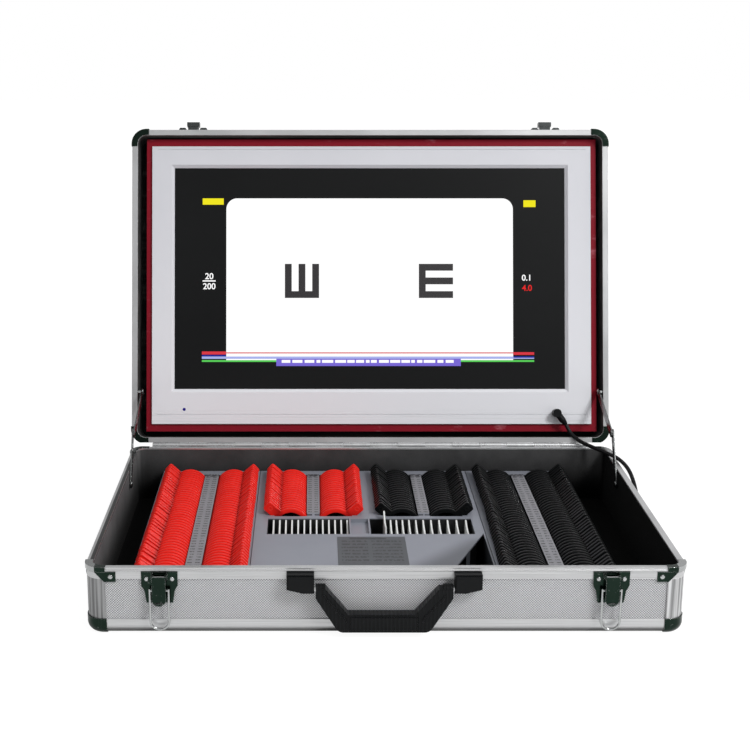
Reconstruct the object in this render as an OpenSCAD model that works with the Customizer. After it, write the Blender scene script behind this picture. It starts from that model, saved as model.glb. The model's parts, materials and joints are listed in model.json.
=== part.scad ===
// Trial lens set: a hinged case of racked trial lenses with a chart screen in its lid.
// Millimetres. X runs left to right, Y front to back, Z up. The origin is the centre of the
// base's footprint, on its underside. The case stands open.

/* [Case] */
// Outer width of the base
case_w = 522; // [520:1:540]
// Outer depth of the base
case_d = 344; // [344:1:360]
// Height of the base to the top of its rim
base_h = 62; // [62:1:68]
// Height of the lid above its rim plane
lid_h = 48; // [48:1:60]
// Outer width of the lid
lid_w = 525; // [525:1:545]
// Outer depth of the lid, from its rear face
lid_d = 345.5; // [345.5:0.5:362]
// Radius of the upright corners
corner_r = 15; // [14:0.5:16]
// Angle between base and lid as the case stands
lid_open = 105.67; // [80:0.01:110]

/* [Extrusions] */
// Height of the rim extrusions' outer skirts
rim_h = 10.5; // [9:0.1:13]
// Height of the foot and edge extrusions
foot_h = 14; // [12:0.5:14]
// Wall of every extrusion
skin = 1.2; // [1:0.1:1.2]
// Reach of each corner post along the walls
post_len = 17.3; // [16:0.1:20]
// Rounding along the foot and edge extrusions
edge_r = 8; // [7:0.5:8]
// Thickness of the wall panels
wall_t = 2.8; // [2.6:0.1:2.8]

/* [Trays] */
// Height of the trays' deck above the underside
deck_z = 36; // [35:0.5:38]
// Gap between neighbouring trays
tray_gap = 0.6; // [0.4:0.1:1.2]
// Left edge of the left tray
tray_left_x = -227; // [-230:0.5:-225]
// Joint between the left and the centre tray
tray_join_left = -121; // [-122:0.5:-120]
// Joint between the centre and the right tray
tray_join_right = 104; // [103:0.5:105]
// Right edge of the right tray
tray_right_x = 211; // [209:0.5:214]

/* [Lenses] */
// Radius of a lens rim
rim_r = 19; // [18:0.25:19]
// Thickness of a lens rim
rim_t = 4; // [3:0.1:4.2]
// Radius of a lens glass
glass_r = 14.6; // [13:0.1:16]
// Distance between neighbouring lenses
lens_pitch = 6.7; // [6.5:0.1:6.8]
// Lenses in each long row
long_count = 44; // [20:1:44]
// Lenses in each short row
short_count = 19; // [10:1:19]
// Reach of a lens's tab from the lens's axis
tab_reach = 36; // [33:0.5:36]
// Lean of a lens's tab from the vertical
tab_lean = 48.5; // [44:0.5:50]

/* [Screen] */
// Width of the screen's bezel
bezel_w = 487; // [480:0.2:487]
// Height of the screen's bezel
bezel_h = 308.5; // [300:0.5:309]
// Width of the lit area
lit_w = 433.6; // [430:0.2:440]
// Height of the lit area
lit_h = 245.8; // [240:0.2:250]

/* [Hidden] */
$fn = 48;
half_w = case_w / 2;
half_d = case_d / 2;
front_y = -half_d;
rear_y = half_d;

// hinge line behind the rear faces, midway between the two rims
hinge_out = 3;
rim_gap = 1.4;
hinge_y = rear_y + hinge_out;
hinge_z = base_h + rim_gap / 2;
lid_z = base_h + rim_gap;
lid_half = lid_w / 2;
lid_front_y = rear_y - lid_d;
knuckle_r = 2.6;
hinge_pin_r = 1.25;
run_gap = 0.05;
knuckle_len = 30;
knuckle_count = 16;
knuckle_gap = 0.3;
leaf_t = 1.2;
leaf_h = 18;
hinge_len = knuckle_len * knuckle_count;

// base section, measured inwards from the outer face
panel_in = skin;
panel_out_in = panel_in + wall_t;
leg_t = 0.6;
leg_in = panel_out_in + 0.1;
liner_in = leg_in + leg_t + 0.1;
liner_t = 1;
inner_in = liner_in + liner_t;
flange_in = inner_in - 0.2;
flange_t = 1.6;
leg_h = 8;
board_in = edge_r + 0.1;
bead_r = 0.8;
bead_z = base_h - 2.4;
foot_flange = 13.5;
board_t = 2;
board_gap = 0.1;
liner_floor = 1;
floor_z = skin + board_t + liner_floor;

// corner hardware
cap_t = 0.9;
cap_reach = 18;
cap_h = 14.5;
bracket_t = 0.6;
fold_reach = 18;
fold_in = 5.4;
pad_reach = 27;
pad_low = base_h - 13;
pad_in = 16.8;
pad_tip_in = 9;
pad_tip_up = 8;
pad_half_turn = 4.4;
rivet_r = 2;
rivet_h = 0.9;
rivet_in = 22.5;
rivet_down = 8.2;
rivet_taper = 0.6;

// lid section, measured down from the lid's rim
lid_board_t = 4.5;
lid_board_d = lid_h - skin - lid_board_t;
lid_floor_d = lid_board_d - 1.4;

// screen, as widths across the lid, distances up from its rear face and depths below its rim
screen_x = 1.7;
surround_half = 249.8;
surround_s0 = 12;
surround_s1 = 337;
surround_d = 11;
bezel_s0 = 20.3;
bezel_d = 8;
bezel_t = 3;
lit_s0 = 59.1;
lit_x = -0.2;
lit_flare = 3.5;
line_w = 0.8;
line_d = 0.3;
line_in = 6;
line_low = 10;
line_high = 4;
panel_d = bezel_d + bezel_t;
panel_margin = 5;
panel_t = 6;
shell_margin = 5;
shell_t = 2;
board_w = 110;
board_s = 30;
board_x = 120;
board_s0 = 25.5;
board_d = 20;
board_pcb = 1.6;
socket_x = 206;
socket_s = 32.5;
socket_r = 4;
socket_bore = 2.85;
socket_len = 9;
plug_r = 2.8;
plug_gap = 0.4;
plug_turn = 52;
plug_lift = 0.2;
barrel_in = 6;
head_h = 11;
head_r = 4.6;
relief_r = 3.6;
relief_len = 10;
relief_taper = 6;
relief_tip = 2.1;
chip_x = [12, 30];
chip_s = [8, 24];
chip_t = 3;
plug_x = [40, 58];
plug_s = [10, 18];
plug_t = 5;

// trays
tray_wall = 1.8;
tray_deck = 2;
tray_floor = 0.8;
tray_z = floor_z + 0.1;
tray_front = -half_d + inner_in + 0.4;
tray_back = half_d - inner_in - 0.4;
lens_z = tray_z + tray_floor + 0.1 + rim_r;
tab_root = 2;
slot_gap = 0.2;
slot_w = rim_t + 2 * slot_gap;
slot_r = rim_r + 0.4;
mouth_half = rim_r + 2.4;
mouth_rise = rim_r / 2;
rail_off = 12;
rail_t = 5;
trough_half = 16.4;
trough_d = 6;
strip_t = 0.4;
strip_lap = 0.2;
row_back = tray_back - 16.6;
left_rows = [-196.5, -149.4];
red_rows = [-85.7, -40.3];
black_rows = [26.2, 70.3];
right_rows = [136, 182.3];
tab_w = 10;
tab_end = tab_reach - tab_w / 2;
tab_t = 1.8;
glass_t = 1.6;
seat_d = 2.2;
lip_w = 0.8;
dimple_r = 2.6;
dimple_d = 0.3;

// two empty wells with thin dividers, and the pocket between them
well_y0 = -25;
well_y1 = 18;
left_well = [-108, -27.5];
right_well = [-7, 94];
well_wall = 1.5;
divider_t = 1.5;
divider_top = deck_z - 1.4;
divider_dip = 4;
divider_dip_r = 60;
left_dividers = 13;
left_divider_x = -102.4;
left_pitch = 6.1;
right_dividers = 11;
right_divider_x = 14;
right_pitch = 5.5;
right_growth = 0.2;
tall_divider_x = 7.4;
tall_divider_top = deck_z + 8;
pocket = [-27, -7.5];
pocket_margin = 1.2;
pocket_d = 4;
notch_x = 67;
notch_y0 = -107.6;
notch_y1 = -23;
plate_x = -40;
plate_y = -104;
plate_w = 65;
plate_h = 71;
plate_t = 0.4;

// latches; both pairs sit a little left of the middle
front_x = -0.8;
latch_x = 195.4;
latch_top = 58.7;
latch_shape = [[15.8, latch_top], [15.8, 46], [13.2, 41], [11.5, 30]];
latch_t = 1.2;
latch_rivet_x = 10.9;
latch_rivet_z = 52.1;
lever_w = 12;
lever_y = front_y - latch_t - 3;
lever_z = 54.5;
lever_pin_r = 1.1;
lever_len = 25;
lever_top = 2;
lever_skin = 1.1;
lever_front = 4.4;
lever_side_y = 1.6;
lever_side_h = 17.5;
lever_hub_r = 2.4;
lip_len = 7;
lip_out = 1.3;
lip_up = 1.6;
ear_gap = 0.12;
ear_t = 0.8;
ear_r = 2.6;
bail_drop = 11.5;
bail_out = 1;
bail_r = 1.05;
bail_half = 8.05;
bail_low = 5.7;
bail_end = 0.4;
catch_w = 31;
catch_h = 13;
catch_z = lid_z + 4.4;
wing_w = 8;
wing_out = 3.5;
wing_r = 2;
neck_w = 12;
neck_low = 2.4;
neck_top_w = 6.8;
knob_w = 14;
knob_z = lid_z + 7.6;
knob_h = 8.5;
neck_out = 5.6;
knob_out = 10.3;

// handle
handle_x = -1.9;
grip_x = 60.5;
handle_y = front_y - 6;
handle_z = 44.7;
handle_t = 10;
handle_pin_r = 2;
handle_pin_in = 8;
handle_pin_len = 14;
handle_gap = 1.3;
handle_top = handle_z + 2;
handle_low = 6.3;
handle_round = 8;
arm_w = 8.5;
arm_w_right = 12;
arm_low = 38;
grip_top = 23.1;
grip_left = -31.2;
grip_right = 27;
foot_x = 35;
pad_half = 29;
pad_z = 8.6;
pad_h = 12;
pad_out = 0.8;
mount_w = 23.8;
mount_h = 17.1;
mount_z = 41.5;
mount_d = 10.5;
mount_step = 2;
mount_cut = 3.4;
mount_flat = 9.5;
mount_hole = 7;
rib_count = 5;
rib_size = [1.6, 1.2, 7.5];
rib_turn = 28;
rib_step = [4, 4.6];
rib_drop = 7;

// lid stays, in the plane across the hinge line
stay_y = hinge_y - 84;
stay_z = hinge_z - 16;
stay_s = 56;
stay_d = 4;
low_len = 55;
low_angle = 59.08;
up_len = 80;
up_angle = -56.61;
stay_w = 9;
stay_t = 1.2;
stay_low_x = 253.2;
stay_up_x = 251.6;
stay_pin_r = 1.8;
stay_head_r = 3.2;
stay_head = 0.4;

// cable
cable_r = 1.8;
cable_joint_r = 1.86;

// a rectangle with round corners
module round_rect(w, d, r) {
    square([w - 2 * r, d], center = true);
    square([w, d - 2 * r], center = true);
    for (sx = [-1, 1], sy = [-1, 1])
        translate([sx * (w / 2 - r), sy * (d / 2 - r)]) circle(r);
}

// four straight walls on that outline; the profile's x is outwards from the outer face
module straight_walls(w, d, r) {
    for (m = [0, 1]) {
        mirror([0, m, 0]) translate([0, d / 2, 0]) rotate([90, 0, 90])
            linear_extrude(w - 2 * r, center = true) children();
        mirror([m, 0, 0]) translate([w / 2, 0, 0]) rotate([90, 0, 0])
            linear_extrude(d - 2 * r, center = true) children();
    }
}

// the same walls with their corners swept round
module swept_frame(w, d, r) {
    straight_walls(w, d, r) children();
    for (mx = [0, 1], my = [0, 1])
        mirror([mx, 0, 0]) mirror([0, my, 0]) translate([w / 2 - r, d / 2 - r, 0])
            rotate_extrude(angle = 90) translate([r, 0]) children();
}

// one corner of the same sweep, with a short straight run along each wall
module swept_corner(w, d, r, run) {
    translate([w / 2 - r, d / 2 - r, 0]) rotate_extrude(angle = 90) translate([r, 0]) children();
    translate([w / 2 - r - run, d / 2, 0]) rotate([90, 0, 90]) linear_extrude(run) children();
    translate([w / 2, d / 2 - r, 0]) rotate([90, 0, 0]) linear_extrude(run) children();
}

module four_corners() {
    for (mx = [0, 1], my = [0, 1]) mirror([mx, 0, 0]) mirror([0, my, 0]) children();
}

// foot extrusion: skirt, rounded edge and flange under the board
module foot_profile(h) {
    difference() {
        union() {
            translate([-edge_r, 0]) intersection() {
                translate([0, edge_r]) circle(edge_r);
                square([edge_r, edge_r]);
            }
            translate([-skin, edge_r]) square([skin, h - edge_r]);
            translate([-foot_flange, 0]) square([foot_flange - edge_r, skin]);
        }
        translate([-edge_r, edge_r]) circle(edge_r - skin);
    }
}

// wall panel, its lower edge cut to sit inside the foot extrusion's curve
module panel_profile(h) {
    in = panel_out_in;
    z = edge_r - sqrt(pow(edge_r - skin, 2) - pow(edge_r - in, 2));
    polygon([[-in, z], [-skin, edge_r], [-skin, h], [-in, h]]);
}

// cap over the foot extrusion, flat where it reaches the ground
module cap_profile(h) {
    difference() {
        union() {
            intersection() {
                translate([-edge_r, edge_r]) circle(edge_r + cap_t);
                translate([-edge_r, 0]) square([edge_r + cap_t, edge_r]);
            }
            translate([0, edge_r]) square([cap_t, h - edge_r]);
        }
        translate([-edge_r, edge_r]) circle(edge_r);
    }
}

module rim_profile(flange, leg_from, leg_width) {
    translate([-skin, base_h - rim_h]) square([skin, rim_h]);
    translate([-flange, base_h - flange_t]) square([flange, flange_t]);
    translate([-leg_from - leg_width, base_h - leg_h]) square([leg_width, leg_h]);
    translate([0, bead_z]) circle(bead_r);
}

// slanted underside of a bracket's pad
module pad_slant() {
    tip = pad_low + pad_tip_up;
    linear_extrude(pad_half_turn + 1)
        polygon([[-pad_in, pad_low - 1], [-pad_in, pad_low], [-pad_tip_in, tip], [1, tip], [1, pad_low - 1]]);
}

// bracket folded over the corner of a rim, with a pad on each wall below the bead
module rim_bracket(w, d) {
    under = bead_z - bead_r - bracket_t;
    swept_corner(w, d, corner_r, fold_reach - corner_r) {
        translate([0, under]) square([bead_r + bracket_t, bracket_t]);
        translate([bead_r, under]) square([bracket_t, base_h - under + bracket_t]);
        translate([-fold_in, base_h]) square([fold_in + bead_r + bracket_t, bracket_t]);
    }
    difference() {
        swept_corner(w, d, corner_r, pad_reach - corner_r)
            translate([0, pad_low]) square([bracket_t, under - pad_low]);
        translate([w / 2, d / 2 + 1, 0]) rotate([90, 0, 0]) pad_slant();
        translate([w / 2 - pad_half_turn, d / 2, 0]) rotate([90, 0, 90]) pad_slant();
    }
}

module rivet(r, h) {
    cylinder(r = r, h = h / 2);
    translate([0, 0, h / 2]) cylinder(r1 = r, r2 = r * rivet_taper, h = h / 2);
}

// everything in the lid is placed as if closed, then swung open about the hinge line
module lid_pose() {
    translate([0, hinge_y, hinge_z]) rotate([-lid_open, 0, 0])
        translate([0, -hinge_y, -hinge_z]) children();
}

// the lid's frames reuse the base's profiles upside down
module lid_flip() {
    translate([0, (rear_y + lid_front_y) / 2, 0]) mirror([0, 0, 1])
        translate([0, 0, -lid_z - base_h]) children();
}

module lid_block(x0, x1, s0, s1, d0, d1) {
    translate([x0, rear_y - s1, lid_z + d0]) cube([x1 - x0, s1 - s0, d1 - d0]);
}

module base_wall_panels() {
    color([0.78, 0.79, 0.8]) straight_walls(case_w, case_d, corner_r)
        panel_profile(base_h - flange_t);
}

// stepped board: its middle stands level with the foot extrusion's underside
module base_bottom() {
    in = board_in;
    step_in = foot_flange + board_gap;
    color([0.2, 0.2, 0.21]) {
        translate([0, 0, skin])
            linear_extrude(board_t) round_rect(case_w - 2 * in, case_d - 2 * in, corner_r - in);
        linear_extrude(skin)
            round_rect(case_w - 2 * step_in, case_d - 2 * step_in, corner_r - step_in);
    }
}

module base_lining() {
    r = corner_r - liner_in;
    w = case_w - 2 * liner_in;
    d = case_d - 2 * liner_in;
    color([0.05, 0.05, 0.055]) difference() {
        translate([0, 0, floor_z - liner_floor])
            linear_extrude(base_h - flange_t - floor_z + liner_floor) round_rect(w, d, r);
        translate([0, 0, floor_z])
            linear_extrude(base_h) round_rect(w - 2 * liner_t, d - 2 * liner_t, r - liner_t);
        for (m = [0, 1]) mirror([m, 0, 0]) translate([half_w - inner_in - 1, stay_y, stay_z])
            rotate([0, 90, 0]) cylinder(r = stay_pin_r, h = inner_in);
    }
}

module base_rim_frame() {
    color([0.82, 0.83, 0.84]) difference() {
        swept_frame(case_w, case_d, corner_r) rim_profile(flange_in, leg_in, leg_t);
        // the hinge leaf lies flat on the rear skirt
        translate([-half_w, rear_y, 0]) cube([case_w, 2 * bead_r, base_h + 1]);
        for (m = [0, 1]) mirror([m, 0, 0]) translate([half_w - inner_in - 1, stay_y, stay_z])
            rotate([0, 90, 0]) cylinder(r = stay_pin_r, h = inner_in - panel_in);
    }
}

module base_foot_frame() {
    color([0.82, 0.83, 0.84]) swept_frame(case_w, case_d, corner_r) foot_profile(foot_h);
}

module base_corner_posts() {
    color([0.82, 0.83, 0.84]) four_corners()
        translate([0, 0, foot_h]) swept_corner(case_w, case_d, corner_r, post_len - corner_r)
            translate([-skin, 0]) square([skin, base_h - rim_h - foot_h]);
}

module base_corner_caps() {
    color([0.16, 0.2, 0.18]) four_corners()
        swept_corner(case_w, case_d, corner_r, cap_reach - corner_r) cap_profile(cap_h);
}

module base_rim_brackets() {
    color([0.16, 0.2, 0.18]) for (mx = [0, 1]) mirror([mx, 0, 0]) {
        mirror([0, 1, 0]) rim_bracket(case_w, case_d);
        // the rear pair stop short of the hinge leaf and lose their bead fold there
        difference() {
            rim_bracket(case_w, case_d);
            translate([0, rear_y, 0]) cube([case_w, 3 * bead_r, base_h + 1]);
        }
    }
}

module base_rivets() {
    color([0.85, 0.86, 0.87]) {
        // through the rim brackets at the front and at the sides
        for (m = [0, 1]) mirror([m, 0, 0]) {
            translate([half_w - rivet_in, front_y - bracket_t, base_h - rivet_down])
                rotate([90, 0, 0]) rivet(rivet_r, rivet_h);
            for (sy = [-1, 1])
                translate([half_w + bracket_t, sy * (half_d - rivet_in), base_h - rivet_down])
                    rotate([0, 90, 0]) rivet(rivet_r, rivet_h);
            // pivots of the stays' lower links, from the wall panel inwards
            translate([stay_low_x - rivet_h, stay_y, stay_z]) rotate([0, 90, 0]) {
                cylinder(r = stay_pin_r, h = half_w - panel_out_in - stay_low_x + rivet_h);
                cylinder(r = stay_head_r, h = rivet_h - run_gap);
            }
        }
        // through the latch plates' wings
        for (x = [-latch_x, latch_x], sx = [-1, 1])
            translate([front_x + x + sx * latch_rivet_x, front_y - latch_t, latch_rivet_z])
                rotate([90, 0, 0]) rivet(rivet_r, rivet_h);
    }
}

// a leaf with its knuckles along the hinge line; phase picks every other knuckle
module hinge_leaf(phase) {
    span = knuckle_len - knuckle_gap;
    leaf_top = hinge_z - knuckle_r - knuckle_gap;
    difference() {
        union() {
            translate([-hinge_len / 2, rear_y, leaf_top - leaf_h]) cube([hinge_len, leaf_t, leaf_h]);
            for (i = [phase : 2 : knuckle_count - 1])
                translate([-hinge_len / 2 + i * knuckle_len + knuckle_gap / 2, 0, 0]) {
                    translate([0, hinge_y, hinge_z]) rotate([0, 90, 0]) cylinder(r = knuckle_r, h = span);
                    translate([0, rear_y, leaf_top - 1]) cube([span, leaf_t, hinge_z - leaf_top + 1]);
                }
        }
        translate([-hinge_len / 2 - 1, hinge_y, hinge_z]) rotate([0, 90, 0])
            cylinder(r = hinge_pin_r + run_gap, h = hinge_len + 2);
    }
}

module hinge_leaf_base() {
    color([0.6, 0.61, 0.62]) hinge_leaf(0);
}

module hinge_leaf_lid() {
    color([0.6, 0.61, 0.62]) lid_pose() translate([0, 0, 2 * hinge_z]) mirror([0, 0, 1]) hinge_leaf(1);
}

module hinge_pin() {
    color([0.7, 0.71, 0.72]) translate([-hinge_len / 2, hinge_y, hinge_z]) rotate([0, 90, 0])
        cylinder(r = hinge_pin_r, h = hinge_len);
}

// plate with two ears that hold the lever's pin
module latch_plate() {
    ear_x = lever_w / 2 + ear_gap;
    difference() {
        union() {
            translate([0, front_y, 0]) rotate([90, 0, 0]) linear_extrude(latch_t)
                polygon(concat(latch_shape, [for (i = [3 : -1 : 0]) [-latch_shape[i].x, latch_shape[i].y]]));
            for (m = [0, 1]) mirror([m, 0, 0]) translate([ear_x, lever_y, lever_z]) {
                translate([0, 0, -ear_r]) cube([ear_t, front_y - latch_t - lever_y, 2 * ear_r]);
                rotate([0, 90, 0]) cylinder(r = ear_r, h = ear_t);
            }
        }
        translate([-lever_w, lever_y, lever_z]) rotate([0, 90, 0])
            cylinder(r = lever_pin_r, h = 2 * lever_w);
    }
}

module latch_plates() {
    color([0.16, 0.2, 0.18]) for (x = [-latch_x, latch_x]) translate([front_x + x, 0, 0]) latch_plate();
}

// sheet lever, a channel open at the back that straddles its pin
module latch_lever() {
    half = lever_w / 2;
    translate([0, lever_y, lever_z]) difference() {
        union() {
            translate([0, lever_skin - lever_front, 0]) rotate([90, 0, 0]) linear_extrude(lever_skin) {
                translate([-half, half - lever_len]) square([lever_w, lever_len - half + lever_top]);
                translate([0, half - lever_len]) circle(half);
            }
            // lip for the finger
            translate([-lip_len / 2, -lever_front - lip_out, lip_up - lever_len])
                cube([lip_len, lip_out + lever_skin, lip_out]);
            for (m = [0, 1]) mirror([m, 0, 0]) translate([half - lever_skin, 0, 0]) {
                rotate([0, 90, 0]) cylinder(r = lever_hub_r, h = lever_skin);
                translate([0, lever_skin / 2 - lever_front, -lever_side_h])
                    cube([lever_skin, lever_front - lever_skin / 2 + lever_side_y, lever_side_h]);
            }
        }
        translate([-lever_w, 0, 0]) rotate([0, 90, 0])
            cylinder(r = lever_pin_r + run_gap, h = 2 * lever_w);
        translate([-lever_w, -bail_out, -bail_drop]) rotate([0, 90, 0])
            cylinder(r = bail_r + run_gap, h = 2 * lever_w);
    }
}

module latch_lever_left() {
    color([0.2, 0.24, 0.22]) translate([front_x - latch_x, 0, 0]) latch_lever();
}

module latch_lever_right() {
    color([0.2, 0.24, 0.22]) translate([front_x + latch_x, 0, 0]) latch_lever();
}

// wire loop hanging from the lever's sides
module latch_bail() {
    pz = lever_z - bail_drop;
    bend_z = bail_low + bail_r + bail_half;
    stub_in = lever_w / 2 - lever_skin;
    translate([0, lever_y - bail_out, 0]) {
        for (m = [0, 1]) mirror([m, 0, 0]) {
            translate([bail_half, 0, bend_z]) cylinder(r = bail_r, h = pz - bend_z + bail_r + bail_end);
            translate([stub_in, 0, pz]) rotate([0, 90, 0]) cylinder(r = bail_r, h = bail_half - stub_in);
        }
        translate([0, 0, bend_z]) rotate([90, 180, 0]) rotate_extrude(angle = 180)
            translate([bail_half, 0]) circle(bail_r);
    }
}

module latch_bail_left() {
    color([0.8, 0.81, 0.82]) translate([front_x - latch_x, 0, 0]) latch_bail();
}

module latch_bail_right() {
    color([0.8, 0.81, 0.82]) translate([front_x + latch_x, 0, 0]) latch_bail();
}

module pivot_pins() {
    half = lever_w / 2 + ear_gap + ear_t;
    color([0.7, 0.71, 0.72]) {
        for (x = [-latch_x, latch_x]) translate([front_x + x - half, lever_y, lever_z])
            rotate([0, 90, 0]) cylinder(r = lever_pin_r, h = 2 * half);
        translate([handle_x, 0, 0]) for (m = [0, 1]) mirror([m, 0, 0])
            translate([grip_x - handle_pin_in, handle_y, handle_z])
                rotate([0, 90, 0]) cylinder(r = handle_pin_r, h = handle_pin_len);
    }
}

// mount with a slanted underside, its front stepped in
module handle_mount(step) {
    x0 = grip_x + step;
    x1 = grip_x + mount_w - step;
    z0 = mount_z + step;
    polygon([
        [x0, mount_z + mount_h - step], [x1, mount_z + mount_h - step],
        [x1, z0 + mount_cut], [x0 + mount_flat, z0], [x0, z0]
    ]);
}

module handle_brackets() {
    color([0.05, 0.05, 0.055]) translate([handle_x, 0, 0]) for (m = [0, 1]) mirror([m, 0, 0]) difference() {
        translate([0, front_y, 0]) rotate([90, 0, 0]) {
            linear_extrude(mount_d - mount_step) handle_mount(0);
            linear_extrude(mount_d) handle_mount(mount_step / 2);
        }
        translate([grip_x - 1, handle_y, handle_z]) rotate([0, 90, 0])
            cylinder(r = handle_pin_r, h = mount_hole);
    }
}

module handle() {
    x0 = grip_x - handle_gap;
    front = handle_y - handle_t / 2;
    bend = handle_low + handle_round;
    color([0.05, 0.05, 0.055]) translate([handle_x, 0, 0]) difference() {
        union() {
            translate([0, front + handle_t, 0]) rotate([90, 0, 0]) linear_extrude(handle_t) {
                polygon([
                    [-x0, handle_top], [arm_w - x0, handle_top], [grip_left, grip_top],
                    [grip_right, grip_top], [x0 - arm_w_right, handle_top], [x0, handle_top], [x0, arm_low],
                    [foot_x + handle_round * sin(60), bend - handle_round / 2],
                    [foot_x, handle_low], [-foot_x, handle_low],
                    [-foot_x - handle_round * sin(60), bend - handle_round / 2], [-x0, arm_low]
                ]);
                for (x = [-foot_x, foot_x]) translate([x, bend]) circle(handle_round);
            }
            for (m = [0, 1]) mirror([m, 0, 0]) {
                translate([x0 - arm_w, handle_y, handle_z]) rotate([0, 90, 0])
                    cylinder(r = handle_t / 2, h = arm_w);
                // finger ribs down the arms
                for (i = [0 : rib_count - 1])
                    translate([x0 - arm_w - i * rib_step[0], front, handle_z - rib_drop - i * rib_step[1]])
                        rotate([0, rib_turn, 0]) cube(rib_size, center = true);
            }
            // raised pad along the grip
            translate([-pad_half, front - pad_out, pad_z]) cube([2 * pad_half, 2 * pad_out, pad_h]);
        }
        for (m = [0, 1]) mirror([m, 0, 0]) translate([grip_x - handle_pin_in, handle_y, handle_z])
            rotate([0, 90, 0]) cylinder(r = handle_pin_r + run_gap, h = handle_pin_in);
    }
}

module stay_link(x, y, z, len, angle, hole_r) {
    translate([x, y, z]) rotate([angle, 0, 0]) rotate([90, 0, 90]) linear_extrude(stay_t) difference() {
        union() {
            translate([0, -stay_w / 2]) square([len, stay_w]);
            circle(stay_w / 2);
            translate([len, 0]) circle(stay_w / 2);
        }
        circle(hole_r);
    }
}

module stay_lower() {
    stay_link(stay_low_x, stay_y, stay_z, low_len, low_angle, stay_pin_r + run_gap);
    // the knee rivet is split between the two links, so the loop opens there
    translate([stay_low_x + stay_t, stay_y + low_len * cos(low_angle), stay_z + low_len * sin(low_angle)])
        rotate([0, 90, 0]) cylinder(r = stay_head_r, h = stay_head);
}

module stay_upper() {
    y = rear_y - stay_s;
    z = lid_z + stay_d;
    lid_pose() {
        stay_link(stay_up_x, y, z, up_len, up_angle, stay_pin_r + run_gap);
        translate([stay_up_x - stay_head, y + up_len * cos(up_angle), z + up_len * sin(up_angle)])
            rotate([0, 90, 0]) cylinder(r = stay_head_r, h = stay_head);
    }
}

module stay_lower_left() {
    color([0.75, 0.75, 0.76]) mirror([1, 0, 0]) stay_lower();
}

module stay_lower_right() {
    color([0.75, 0.75, 0.76]) stay_lower();
}

module stay_upper_left() {
    color([0.75, 0.75, 0.76]) mirror([1, 0, 0]) stay_upper();
}

module stay_upper_right() {
    color([0.75, 0.75, 0.76]) stay_upper();
}

// upright pocket for one lens, open at the top and wider where the tab leaves it
module lens_slot() {
    rotate([90, 0, 0]) linear_extrude(slot_w, center = true) {
        circle(slot_r);
        translate([-slot_r, 0]) square([2 * slot_r, deck_z]);
        translate([-mouth_half, mouth_rise]) square([2 * mouth_half, deck_z]);
    }
}

// a shell with a deck, and two rails under it for each row of lenses
module rack_tray(x0, x1, rows, count) {
    inner_w = x1 - x0 - 2 * tray_wall;
    inner_d = tray_back - tray_front - 2 * tray_wall;
    cell_h = deck_z - tray_deck - tray_z - tray_floor;
    difference() {
        translate([x0, tray_front, tray_z]) cube([x1 - x0, tray_back - tray_front, deck_z - tray_z]);
        difference() {
            translate([x0 + tray_wall, tray_front + tray_wall, tray_z + tray_floor])
                cube([inner_w, inner_d, cell_h]);
            for (x = rows, sx = [-1, 1])
                translate([x + sx * rail_off - rail_t / 2, tray_front, tray_z])
                    cube([rail_t, tray_back - tray_front, deck_z - tray_z - 1]);
        }
        for (x = rows, i = [0 : count - 1])
            translate([x, row_back - i * lens_pitch, lens_z]) lens_slot();
        // the deck is open along each row, down past the lenses' shoulders
        for (x = rows)
            translate([x - trough_half, row_back - (count - 1) * lens_pitch - slot_w, deck_z - trough_d])
                cube([2 * trough_half, (count - 1) * lens_pitch + 2 * slot_w, deck_z]);
    }
}

// printed strip between the two rows of a pair, laid over the ends of their slots
module label_strip(pair, count) {
    x0 = pair[0] + trough_half - strip_lap;
    x1 = pair[1] - trough_half + strip_lap;
    y1 = row_back + slot_w;
    color([0.62, 0.62, 0.65]) translate([x0, y1 - count * lens_pitch, deck_z])
        cube([x1 - x0, count * lens_pitch, strip_t]);
}

module label_strip_left() {
    label_strip(left_rows, long_count);
}

module label_strip_right() {
    label_strip(right_rows, long_count);
}

// these two stop behind the front slots, which leaves the loose lens free to lift out
module label_strips_centre() {
    label_strip(red_rows, short_count - 1);
    label_strip(black_rows, short_count - 1);
}

module tray_left() {
    color([0.6, 0.6, 0.63])
        rack_tray(tray_left_x, tray_join_left - tray_gap / 2, left_rows, long_count);
}

module tray_right() {
    color([0.6, 0.6, 0.63])
        rack_tray(tray_join_right + tray_gap / 2, tray_right_x, right_rows, long_count);
}

// a block of the centre tray's width between two fronts, for the wells and the walls round them
module well_box(span, grow, z0) {
    translate([span[0] - grow, well_y0 - grow, z0])
        cube([span[1] - span[0] + 2 * grow, well_y1 - well_y0 + 2 * grow, deck_z - z0]);
}

module tray_centre() {
    x1 = tray_join_right - tray_gap / 2;
    wells = [left_well, right_well];
    color([0.6, 0.6, 0.63]) difference() {
        union() {
            rack_tray(tray_join_left + tray_gap / 2, x1, concat(red_rows, black_rows), short_count);
            for (w = wells) well_box(w, well_wall, tray_z);
            well_box(pocket, well_wall, deck_z - pocket_d - tray_deck);
        }
        for (w = wells) translate([0, 0, tray_z + tray_floor]) well_box(w, 0, 0);
        translate([0, 0, deck_z - pocket_d]) well_box(pocket, -pocket_margin, 0);
        // cut-away that clears a finger at the tray's front corner
        linear_extrude(2 * deck_z)
            polygon([[x1 - tray_wall, notch_y1], [notch_x, notch_y0], [x1 - tray_wall, notch_y0]]);
    }
}

module divider(x, top) {
    r = divider_dip_r;
    y_mid = (well_y0 + well_y1) / 2 - 3;
    clear = 0.3;
    translate([x - divider_t / 2, 0, 0]) difference() {
        translate([0, well_y0 + clear, tray_z + tray_floor])
            cube([divider_t, well_y1 - well_y0 - 2 * clear, top - tray_z - tray_floor]);
        translate([-1, y_mid, top - divider_dip + r]) rotate([0, 90, 0])
            cylinder(r = r, h = divider_t + 2, $fn = 96);
    }
}

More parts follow.
